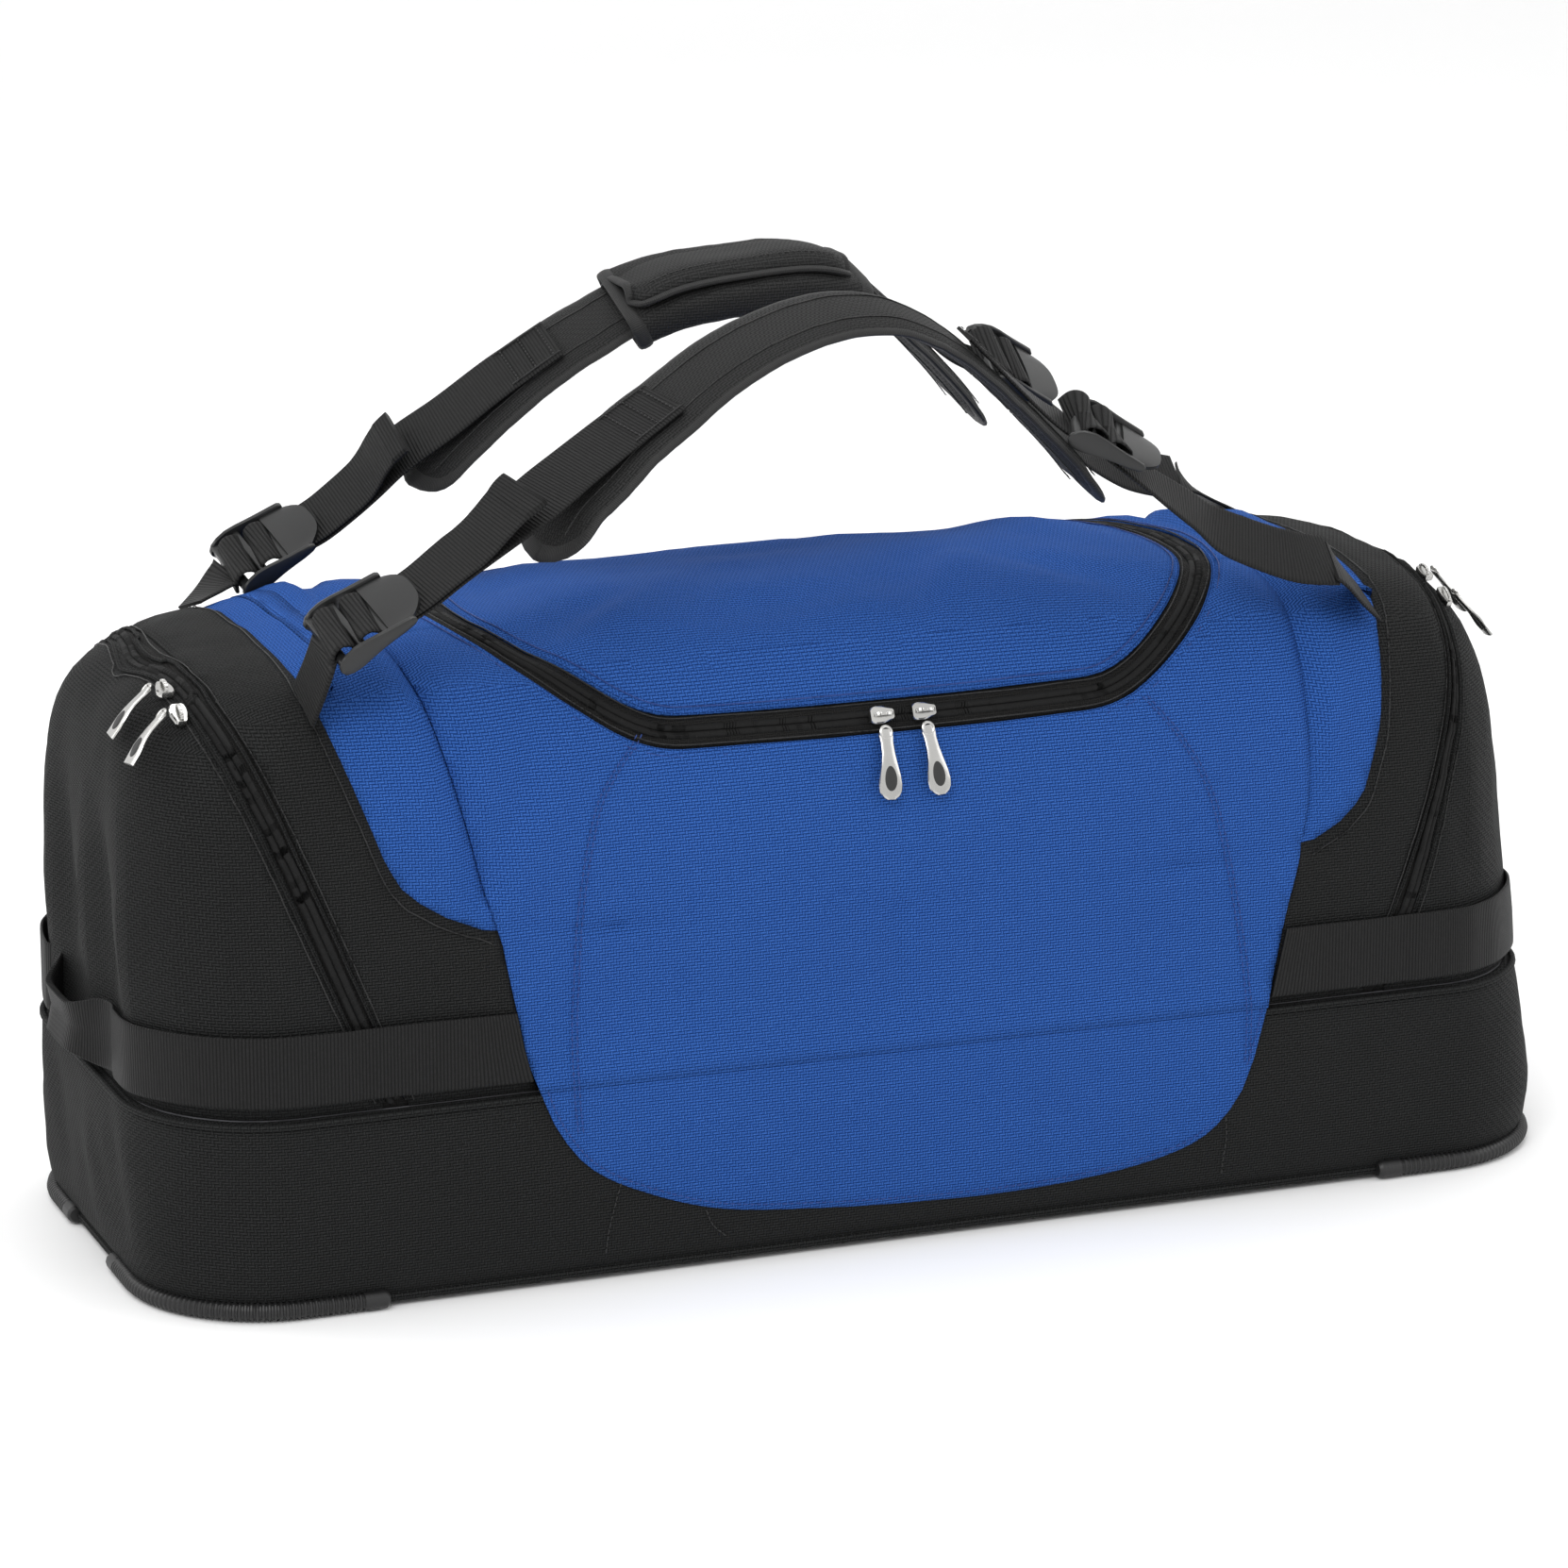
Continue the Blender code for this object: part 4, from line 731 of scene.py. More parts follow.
# ------------------------------------------------------------------ end zips
for nm, sx in (("left", -1), ("right", 1)):
    def zline(t, g=0.0, sx=sx):
        """From the base seam at the front, over the top, to the base seam at the back."""
        u = abs(2 * t - 1)                           # 1 at the base seam, 0 at the top
        side = -1 if t < .5 else 1
        s = 1 - u
        zz = Z0 + .004 + (s / .62) * (.325 - Z0) if s < .62 else None
        if zz is not None:
            a, b = halfs(np.array(min(zz, CROWN)))
            x = door_line(zz) + g
            y = float(b)
            # round the plan corner
            r = CORNER_R - .004
            dx = x - (float(a) - r)
            if dx > 0: y = float(b) - r + math.sqrt(max(0, r * r - dx * dx))
            return (sx * x, side * y, zz - float(sag(x, y, zz)))
        q = (s - .62) / .38
        x = door_line(.325) + (door_line(.348) - door_line(.325)) * sstep(q, 0, 1) + g
        a, b = halfs(np.array(.325)); r = CORNER_R - .004
        y0 = float(b); dx = x - (float(a) - r)
        if dx > 0: y0 = y0 - r + math.sqrt(max(0, r * r - dx * dx))
        y = side * y0 * (1 - q)
        return (sx * x, y, float(top_z(x, y)))
    def zl(g, off, n=170):
        P, N = curve_on(lambda t: zline(t, g), n, off)
        T = np.gradient(P, axis=0); T /= np.linalg.norm(T, axis=1, keepdims=True)
        W = np.cross(T, N); W /= np.linalg.norm(W, axis=1, keepdims=True)
        return P, N, W
    P, N, W = zl(0.0, -.0006)
    out = 1 if (W[len(W) // 2][0] * sx) > 0 else -1
    o = teeth("end_zip_coil_body_" + nm, P - out * W * .0004, N, W, M_COIL, "root", -out)
    o = teeth("end_zip_coil_door_" + nm, P + out * W * .0004, N, W, M_COIL, None, out)
    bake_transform(o)
    circ = [(.0011 * math.cos(t), .0011 * math.sin(t)) for t in np.linspace(0, 2 * math.pi, 9)[:-1]]
    for g, body, k in ((-.0068, "root", "body"), (.0068, None, "door")):
        P, N, W = zl(g, .0005)
        o = sweep("end_zip_edge_%s_%s" % (k, nm), P, W, circ, M_BLACK, body)
        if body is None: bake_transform(o)
        P, N, W = zl(g * 1.55, .0005)
        o = stitches("end_stitch_%s_%s" % (k, nm), P, N, M_THREAD_K, body)
        if body is None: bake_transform(o)

# seam between the blue centre and the black gussets
for nm, left, sx in (("left", True, -1), ("right", False, 1)):
    for side in (-1, 1):
        zs = np.concatenate([np.linspace(.196, .335, 26)])
        L = []
        for z in zs:
            x = float(seam_x(np.array(z), np.array(left)))
            b = float(halfs(np.array(z))[1])
            L.append((sx * x, side * b, z - float(sag(x, b, z))))
        yl = abs(L[-1][1])
        for y in np.linspace(yl * .96, 0, 14):
            x = float(seam_x(np.array(.345), np.array(left)))
            L.append((sx * x, side * y, float(top_z(x, y))))
        L = np.array(L)
        P, N = curve_on(lambda t: L[min(len(L) - 1, int(t * (len(L) - 1)))] * (1 - (t * (len(L) - 1)) % 1) + L[min(len(L) - 1, int(t * (len(L) - 1)) + 1)] * ((t * (len(L) - 1)) % 1), 90, .0004)
        off = np.array([sx * .0035, 0, 0])
        Pk = np.array([on_surface(p + off, .0005)[0] for p in P])
        o = stitches("gusset_stitch_%s_%s" % (nm, "front" if side < 0 else "rear"), Pk, N, M_THREAD_K, "root")

# ------------------------------------------------------------------ base compartment
def rr(a, b, r, n=16, m=60, k=16):
    pts = []
    cs = [(a - r, b - r, 0), (-(a - r), b - r, 90), (-(a - r), -(b - r), 180), (a - r, -(b - r), 270)]
    for i, (cx, cy, a0) in enumerate(cs):
        for j in range(n + 1):
            t = math.radians(a0 + 90.0 * j / n)
            pts.append((cx + r * math.cos(t), cy + r * math.sin(t)))
        nx, ny, na = cs[(i + 1) % 4]
        e = (nx + r * math.cos(math.radians(na)), ny + r * math.sin(math.radians(na))); s = pts[-1]
        st = m if i % 2 == 0 else k
        for j in range(1, st):
            pts.append((s[0] + (e[0] - s[0]) * j / st, s[1] + (e[1] - s[1]) * j / st))
    return np.array(pts)
prof = [(.0150, .0024), (.0100, .0032), (.0078, .0060), (.0052, .0100), (.0034, .0140)]
zs = np.linspace(.0165, SEAM_Z - .003, 22)
prof += [(float(np.interp(z, [.0124, .03, .06, SEAM_Z], [.0034, .0006, 0, .0006])), float(z)) for z in zs]
prof += [(.0016, SEAM_Z - .0012), (.0040, SEAM_Z + .0006), (.0058, SEAM_Z + .0016)]
def bdisp(P):
    x, y, z = P[:, 0], P[:, 1], P[:, 2]
    k = np.sin(np.clip((z - .010) / (SEAM_Z - .010), 0, 1) * math.pi)
    d = k * (.0017 * noise3(P, .18, 21) + .0008 * noise3(P, .06, 22) + .0004)
    # slight buckles where the corners turn and a slack line under the end handles
    for xc, zc, sx, w, h in ((-.36, .075, -1, .02, -.0020), (-.30, .045, -1, .03, .0014), (.33, .06, -1, .02, -.0018), (.285, .08, -1, .015, .0012)):
        d += h * np.exp(-((x - xc - .4 * (z - zc)) / w) ** 2) * k * (y < 0)
    for yc, h in ((-.07, -.0022), (-.02, .0018), (.05, -.0016)):
        d += h * np.exp(-((y - yc - .3 * (z - .06)) / .014) ** 2) * k * (np.abs(x) > .38)
    return d
V, F, UV = [], [], []
ring0 = None
for inset, z in prof:
    P2 = rr(HALF_L - inset, HALF_D - inset, CORNER_R - inset)
    P3 = np.column_stack([P2, np.full(len(P2), z)])
    d = bdisp(P3)
    nn = np.roll(P2, -1, 0) - np.roll(P2, 1, 0); nn = np.stack([nn[:, 1], -nn[:, 0]], 1); nn /= np.linalg.norm(nn, axis=1, keepdims=True)
    P3[:, :2] += nn * d[:, None]
    V.append(P3)
nr = len(V[0]); V = np.vstack(V)
for k in range(len(prof) - 1):
    for j in range(nr):
        F.append((k * nr + j, k * nr + (j + 1) % nr, (k + 1) * nr + (j + 1) % nr, (k + 1) * nr + j))
F.append(tuple(reversed(range(nr))))
W, G = thicken(V, F, .0026)
o = mesh_obj("base_compartment", W, G, M_BLACK, "root"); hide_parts("base_tub")

circ8 = lambda r, n=10: [(r * math.cos(t), r * math.sin(t)) for t in np.linspace(0, 2 * math.pi, n + 1)[:-1]]
P = rr(HALF_L - .0010, HALF_D - .0010, CORNER_R - .001)
P = np.column_stack([P, np.full(len(P), SEAM_Z - .0006)])
o = sweep("base_seam_piping", P, (0, 0, 1), circ8(.0019), M_BLACK, "root", closed=True)

# bottom piping, and ribbed corner guards with smooth cuffs
P = rr(HALF_L - .0080, HALF_D - .0080, CORNER_R - .008, 20, 90, 30)
P = np.column_stack([P, np.full(len(P), .0048)])
o = sweep("base_edge_piping", P, (0, 0, 1), circ8(.0028, 12), M_BLACK, "root", closed=True)
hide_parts("base_piping_front", "base_piping_rear", "base_piping_left", "base_piping_right")
ins = .0050; r = CORNER_R - ins; cx, cy = HALF_L - ins - r, HALF_D - ins - r
for nm, sx, sy in (("front_left", -1, -1), ("front_right", 1, -1), ("rear_left", -1, 1), ("rear_right", 1, 1)):
    arm = .045; arm2 = min(arm, cy * .5)
    pts = [(sx * (cx - arm + .001), sy * (cy + r)), (sx * (cx - arm * .5), sy * (cy + r))]
    pts += [(sx * (cx + r * math.sin(t)), sy * (cy + r * math.cos(t))) for t in np.linspace(0, math.pi / 2, 40)]
    pts += [(sx * (cx + r), sy * (cy - arm2 + .001))]
    P, t = resample(np.array(pts), .00075); P = np.column_stack([P, np.full(len(P), .0053)])
    L = t[-1]
    def gsec(i, t=t, L=L):
        u = min(t[i], L - t[i])
        if u < .0015: q = .0038 + .0010 * u / .0015
        elif u < .012: q = .0050
        else: q = .0050 if (int(t[i] / .0015) % 2 == 0) else .0042
        return [(q * math.cos(a), q * math.sin(a)) for a in np.linspace(0, 2 * math.pi, 13)[:-1]]
    o = sweep("edge_guard_" + nm, P, (0, 0, 1), gsec, M_GUARD, "root", sharp=30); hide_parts("corner_guard_" + nm)

# lower part of the front cover, lying over the base
xo = np.array([-.2040, -.1990, -.1900, -.176, -.150, -.106, -.05, .0, .050, .100, .150, .178, .197, .208, .2141])
zo = np.array([.109, .096, .080, .064, .049, .0335, .0265, .0230, .0215, .0230, .0300, .0400, .0600, .0850, .109])
cc = catmull(np.column_stack([xo, zo]), 8)
XS = np.linspace(-.2036, .2137, int(110 * FINE))
ZL = np.interp(XS, cc[:, 0], cc[:, 1])
rows = 34
CTREE = BVHTree.FromPolygons([v.co.copy() for v in cover.data.vertices], [tuple(p.vertices) for p in cover.data.polygons])
def cover_y(x, z):
    h = CTREE.ray_cast(Vector((x, -.4, z)), Vector((0, 1, 0)))[0]
    return h.y if h is not None and h.y < -.12 else None
YU = [cover_y(float(np.clip(x, -.2015, .2115)), .1130) for x in XS]
YU = [y if y is not None else -(HALF_D + .0016) for y in YU]
V, F = [], []
for i, (x, zl_) in enumerate(zip(XS, ZL)):
    for j in range(rows + 1):
        z = zl_ + (.1124 - zl_) * j / rows
        e = min(1.0, (z - zl_) / .006) if zl_ < .105 else 1
        p = np.array([[x, -HALF_D, z]])
        y = -(HALF_D + .0016 + float(bdisp(p)[0]) * float(1 - sstep(np.array(z), .085, .108)) - .0008 * (1 - e)) + float(np.interp(z, [.0124, .03, .06], [.0034, .0006, 0]))
        k_ = float(sstep(np.array(z), .082, .1085))
        y = y * (1 - k_) + k_ * (YU[i] - .00015 + .0005 * max(0.0, (z - .1095) / .0029))
        V.append((x, y, z))
n1 = rows + 1
for i in range(len(XS) - 1):
    for j in range(rows):
        a = i * n1 + j
        F.append((a, a + n1, a + n1 + 1, a + 1))
V = np.array(V)
W, G = thicken(V, F, .0014, np.tile([0, -1.0, 0], (len(V), 1)))
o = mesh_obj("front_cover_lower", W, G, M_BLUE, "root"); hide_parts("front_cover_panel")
EDGE = np.array([(x, -(HALF_D + .0020) + float(np.interp(z, [.0124, .03, .06], [.0034, .0006, 0])), z) for x, z in zip(cc[:, 0], cc[:, 1])])
E2 = []
for k in range(len(EDGE)):
    t = EDGE[min(len(EDGE) - 1, k + 1)] - EDGE[max(0, k - 1)]
    n2 = np.array([-t[2], 0, t[0]]); n2 /= np.linalg.norm(n2)
    E2.append(EDGE[k] + n2 * .0035)
stitches("cover_edge_stitch", np.array(E2), np.tile([0, -1.0, 0], (len(E2), 1)), M_THREAD_B, "root")
# seam joining the two lower black pieces, running on to the bottom edge
for pts in ([(-.160, .055), (-.164, .040), (-.167, .028), (-.168, .0150)], [(.190, .050), (.191, .038), (.190, .026), (.190, .0150)], [(-.112, .033), (-.108, .024), (-.100, .0165)]):
    q = catmull(pts, 8)
    P = np.array([(x, -(HALF_D + .0007 + float(bdisp(np.array([[x, -HALF_D, z]]))[0]) - float(np.interp(z, [.0124, .03, .06], [.0034, .0006, 0]))), z) for x, z in q])
    stitches("base_seam_%d" % int(pts[0][0] * 1000 + 500), P, np.tile([0, -1.0, 0], (len(P), 1)), M_THREAD_K, "root")

# stitched seams of the front pocket, on the cover
def cover_pt(x, z, off):
    p = np.array(TREE.find_nearest(Vector((x, -float(halfs(np.array(max(z, Z0)))[1]), z)))[0])
    up = .0012 * float(sstep(-p[1], .07, .10))
    ramp = 1 - float(sstep(np.array(z), .108, .134))
    y = (p[1] - up) * (1 - ramp) - ramp * (HALF_D + .0016)
    if z < .109: y = -(HALF_D + .0016 + float(bdisp(np.array([[x, -HALF_D, z]]))[0]) * float(1 - sstep(np.array(z), .085, .108))) + float(np.interp(z, [.0124, .03, .06], [.0034, .0006, 0]))
    return np.array([x, y - off, z if z < .2 else p[2]])
for nm, pts in (("left", [(-.140, .292), (-.158, .272), (-.170, .252), (-.180, .21), (-.185, .158), (-.186, .11), (-.184, .085)]),
                ("right", [(.150, .287), (.168, .262), (.184, .228), (.197, .17), (.2035, .125), (.204, .09), (.203, .080)])):
    q = catmull(pts, 12)
    P = np.array([cover_pt(x, z, .0005) for x, z in q])
    N = np.tile([0, -1.0, 0.15], (len(P), 1))
    stitches("pocket_stitch_" + nm, P, N, M_THREAD_B, "root")
    P2 = P + np.array([.0028 if nm == "left" else -.0028, 0, 0])
    stitches("pocket_stitch2_" + nm, P2, N, M_THREAD_B, "root")

# inner floor, its flap and the base board
for o_, m in (("divider_floor", M_LINING), ("divider_flap", M_LINING), ("base_board", M_LINING)):
    ob = frame["nodes"][o_]
    for s_ in ob.material_slots: s_.material = M_LINING

# ------------------------------------------------------------------ webbing bands and end grab handles
def band(sx):
    a, b = A + .0018, B + .0020; r = CORNER_R - .004 + .0018
    l_, r_ = cover_lr(np.array([BAND_Z])); s_ = abs(float((l_ if sx < 0 else r_)[0])) + .0010
    pts = [(sx * x, -b) for x in (s_, .240, .27, .30)]
    pts += [(sx * (a - r + r * math.sin(t)), -(b - r + r * math.cos(t))) for t in np.linspace(0, math.pi / 2, 14)[:-1]]
    for y in np.linspace(-.068, .068, 41):
        k = .5 + .5 * math.cos(math.pi * min(1, max(0, (abs(y) - .016) / .036)))
        pts.append((sx * (a + .0125 * k), y))
    pts += [(sx * (a - r + r * math.sin(t)), b - r + r * math.cos(t)) for t in np.linspace(math.pi / 2, 0, 14)[1:]]
    pts += [(sx * x, b) for x in (.30, .27, .235, .205)]
    P = np.array(pts); P, t = resample(P, .004)
    return np.column_stack([P, np.full(len(P), BAND_Z)])
for nm, sx in (("left", -1), ("right", 1)):
    P = band(sx)
    P[:, 2] += .0010 * np.sin(P[:, 1] * 24 + sx) - .0016 * np.exp(-((P[:, 1]) / .04) ** 2) * (np.abs(P[:, 0]) > .40)
    # follow the displaced fabric, except where the handle stands off
    for i in range(len(P)):
        loc, nor, _, d = TREE.find_nearest(Vector(P[i]))
        if abs(P[i][0]) < A - .002 or abs(P[i][1]) > .060:
            nrm = Vector((P[i][0] - np.sign(P[i][0]) * min(abs(P[i][0]), A - CORNER_R), P[i][1] - np.sign(P[i][1]) * min(abs(P[i][1]), B - CORNER_R), 0)).normalized()
            lift = (Vector(P[i]) - loc).dot(nrm)
            P[i] += np.array(nrm) * (max(0.0, .0024 - lift))
    P[1:-1] = (P[:-2] + 2 * P[1:-1] + P[2:]) / 4
    def bsec(i, P=P):
        y = P[i][1]; on = (abs(P[i][0]) > A + .004)
        k = .5 + .5 * math.cos(math.pi * min(1, max(0, (abs(y) - .018) / .026))) if on else 0.0
        S = []
        for a, b in flat_sec(.038, .0020):
            # folded towards a soft tube in the handle's middle
            S.append((a * (1 - .30 * k), b + k * (-.0034 * (abs(a) / .019) ** 2 + .0010 * math.copysign(1, b))))
        return S
    o = sweep("side_webbing_" + nm, P, (0, 0, 1), bsec, M_WEB, "root")
    for v_ in o.data.vertices:      # the front end runs in under the slanted edge of the cover
        if v_.co.y < -.1 and abs(v_.co.x) < .26:
            l_, r_ = cover_lr(np.array([v_.co.z, BAND_Z])); e_ = (l_ if sx < 0 else r_)
            v_.co.x += float(e_[0] - e_[1]) * max(0.0, 1 - (abs(v_.co.x) - abs(float(e_[1]))) / .030)
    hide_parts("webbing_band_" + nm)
    # box stitching where the handle run begins and where the band is sewn down at the front
    for xs_ in ((.2905, .286) if sx < 0 else (.3015, .297)):
        for sd in (-1, 1):
            q = np.array([(sx * xs_, sd * (B + .0038), z) for z in np.linspace(BAND_Z - .0175, BAND_Z + .0175, 12)])
            stitches("band_stitch_%s_%d_%s" % (nm, int(xs_ * 10000), "f" if sd < 0 else "r"), q, np.tile([0, sd * 1.0, 0], (len(q), 1)), M_THREAD_K, "root", .0030, .0022, .00045)
    for y0 in (-.066, -.070, .066, .070):
        x_ = A - (CORNER_R - .004) + math.sqrt(max(0, (CORNER_R - .004) ** 2 - max(0, abs(y0) - (B - CORNER_R + .004)) ** 2)) if abs(y0) > B - CORNER_R + .004 else A
        q = np.array([(sx * (x_ + .0040), y0, z) for z in np.linspace(BAND_Z - .0175, BAND_Z + .0175, 12)])
        stitches("handle_stitch_%s_%d" % (nm, int(y0 * 1000) + 200), q, np.tile([sx * 1.0, 0, 0], (len(q), 1)), M_THREAD_K, "root", .0030, .0022, .00045)

# ------------------------------------------------------------------ carrying straps
PAD_W, PAD_T = .054, .009
STRAPS = {
    "front": dict(y0=-.122, z0=.368,
                  pad=[(-.186, -.112, .388), (-.166, -.107, .413), (-.136, -.099, .4376), (-.108, -.092, .4548), (-.080, -.086, .4718),
                       (-.051, -.081, .4838), (-.0225, -.078, .4913), (.005, -.077, .4942), (.032, -.078, .4873), (.058, -.082, .4709),
                       (.083, -.088, .4472), (.108, -.097, .420), (.1300, -.105, .392)],
                  webl=[(-.2735, -.122, .3660), (-.2568, -.1215, .3740), (-.2362, -.1205, .3880), (-.2157, -.119, .4010), (-.1900, -.114, .4160), (-.1715, -.108, .4265), (-.1400, -.100, .4445), (-.112, -.0935, .4600)],
                  webr=[(.062, -.083, .4800), (.085, -.088, .4560), (.106, -.096, .4360), (.128, -.1035, .4215), (.146, -.108, .4080), (.166, -.110, .3930), (.184, -.112, .3800), (.198, -.115, .3690), (.220, -.119, .3590), (.240, -.122, .3520), (.262, -.122, .3480)]),
    "rear": dict(y0=.105, z0=.368,
                 pad=[(-.190, .090, .388), (-.168, .085, .410), (-.138, .079, .437), (-.108, .073, .4582), (-.083, .067, .4732),
                      (-.057, .063, .4841), (-.019, .061, .4893), (.025, .061, .4906), (.054, .063, .4805), (.084, .068, .4567),
                      (.112, .074, .4294), (.138, .082, .400)],
                 webl=[(-.2585, .105, .3550), (-.2420, .104, .3630), (-.2260, .101, .3755), (-.2120, .098, .3880), (-.197, .093, .4030), (-.1735, .086, .4200), (-.1420, .080, .4435), (-.114, .075, .4600)],
                 webr=[(.064, .065, .4820), (.088, .068, .4620), (.112, .074, .4425), (.136, .081, .4310), (.156, .087, .4210), (.172, .090, .4090), (.184, .093, .3990), (.198, .096, .3850), (.213, .099, .3730), (.235, .103, .3600), (.256, .105, .3520), (.276, .105, .3480)]),
}
def joined(name, parts, m, body, sharp=35):
    V, F, o = [], [], 0
    for v, f in parts:
        V += [tuple(p) for p in v]; F += [tuple(i + o for i in g) for g in f]; o = len(V)
    return mesh_obj(name, V, F, m, body, sharp=sharp)

def bar(p0, p1, ru, rv, up, n=12, e=.5):
    """Rounded bar between two points: half-sizes ru along the width, rv along `up`."""
    p0, p1 = np.array(p0, float), np.array(p1, float)
    d = p1 - p0; L = np.linalg.norm(d); d /= L
    v = np.array(up, float); v -= d * v.dot(d); v /= np.linalg.norm(v); u = np.cross(d, v)
    V, F = [], []
    st = [(0, .35), (.12, .75), (.35, .95), (.8, 1)]
    q = [(min(ru, rv) * a, b) for a, b in st]
    ss = [(a, b) for a, b in q] + [(L - a, b) for a, b in reversed(q)]
    for s, k in ss:
        for j in range(n):
            t = 2 * math.pi * j / n
            cu, cv = math.cos(t), math.sin(t)
            V.append(p0 + d * s + u * ru * k * math.copysign(abs(cu) ** e, cu) + v * rv * k * math.copysign(abs(cv) ** e, cv))
    for i in range(len(ss) - 1):
        for j in range(n):
            F.append((i * n + j, i * n + (j + 1) % n, (i + 1) * n + (j + 1) % n, (i + 1) * n + j))
    F.append(tuple(reversed(range(n)))); F.append(tuple((len(ss) - 1) * n + j for j in range(n)))
    return V, F

def ladder_lock(name, c, tan, length, width, body, wd=(0, 1, 0)):
    """Ladder-lock: two S-shaped side plates, three cross bars and a rounded tongue plate at the upper end."""
    c = np.array(c, float); T = np.array(tan, float); T /= np.linalg.norm(T)
    Wd = np.array(wd, float); Wd -= T * Wd.dot(T); Wd /= np.linalg.norm(Wd); Nn = np.cross(T, Wd)
    if Nn[2] < 0: Nn = -Nn; 
    h, w = length / 2, width / 2
    parts = []
    A_ = np.array([-1.0, -.93, -.75, -.5, -.2, .1, .4, .7, .92, 1.0]) * h
    ZC = np.array([-.0025, -.0022, -.0012, .0002, .0016, .0026, .0034, .0042, .0050, .0052])
    HH = np.array([.0012, .0042, .0062, .0068, .0058, .0046, .0038, .0032, .0024, .0010])
    for s in (-1, 1):
        V, F = [], []
        k = 12
        aa = np.linspace(-h, h, 26)
        for a in aa:
            zc, hh = np.interp(a, A_, ZC), np.interp(a, A_, HH)
            for j in range(k):
                t = 2 * math.pi * j / k
                V.append(c + T * a + Wd * s * (w - .0018 + .0018 * math.copysign(abs(math.cos(t)) ** .6, math.cos(t))) + Nn * (zc + hh * math.copysign(abs(math.sin(t)) ** .6, math.sin(t))))
        for i in range(len(aa) - 1):
            for j in range(k): F.append((i * k + j, i * k + (j + 1) % k, (i + 1) * k + (j + 1) % k, (i + 1) * k + j))
        F.append(tuple(reversed(range(k)))); F.append(tuple((len(aa) - 1) * k + j for j in range(k)))
        parts.append((V, F))
    for a, ru, rv, z in ((-.84 * h, .0028, .0030, -.0010), (-.30 * h, .0022, .0024, .0020), (.30 * h, .0022, .0022, .0022)):
        parts.append(bar(c + T * a - Wd * (w - .0016) + Nn * z, c + T * a + Wd * (w - .0016) + Nn * z, ru, rv, Nn))
    tv, tf = [], []
    n, m = 16, 9
    for k in range(m):
        u = k / (m - 1)
        for j in range(n + 1):
            v_ = -1 + 2 * j / n
            ww = w * (.99 - .10 * u)
            ext = (.36 * h + (.64 * h + .0090) * u) - .0120 * u * abs(v_) ** 3.2
            z = .0048 + .0022 * u + .0014 * (1 - v_ * v_) - .0022 * (abs(v_) ** 4) * u
            tv.append(c + T * ext + Wd * v_ * ww + Nn * z)
    for k in range(m - 1):
        for j in range(n):
            a = k * (n + 1) + j
            tf.append((a, a + 1, a + n + 2, a + n + 1))
    nv = vnormals(np.array(tv), tf)
    if (nv @ Nn).mean() < 0: tf = [tuple(reversed(f)) for f in tf]
    tv, tf = thicken(np.array(tv), tf, .0026)
    parts.append((tv, tf))
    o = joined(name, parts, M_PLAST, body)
    return o

def puff(i, n, W=PAD_W, T=PAD_T, tips=(.018, .018), L=1.0, s=None):
    """Padded strap section: full in the middle, pressed thin under the edge binding."""
    u = min(s[i], s[-1] - s[i])
    tip = .018
    hw = W / 2 * (1.0 if u >= tip else math.sqrt(max(.04, 1 - (1 - u / tip) ** 2)))
    thin = min(1.0, .30 + .70 * min(1, u / .022))
    S = []
    k = 11
    for j in range(k):
        v = -1 + 2 * j / (k - 1)
        S.append((v * hw, -(T / 2) * thin * (.28 + .72 * (1 - abs(v) ** 3.2) ** .8)))
    for j in range(k):
        v = 1 - 2 * j / (k - 1)
        S.append((v * hw, (T / 2) * thin * (.28 + .72 * (1 - abs(v) ** 3.2) ** .8)))
    return S

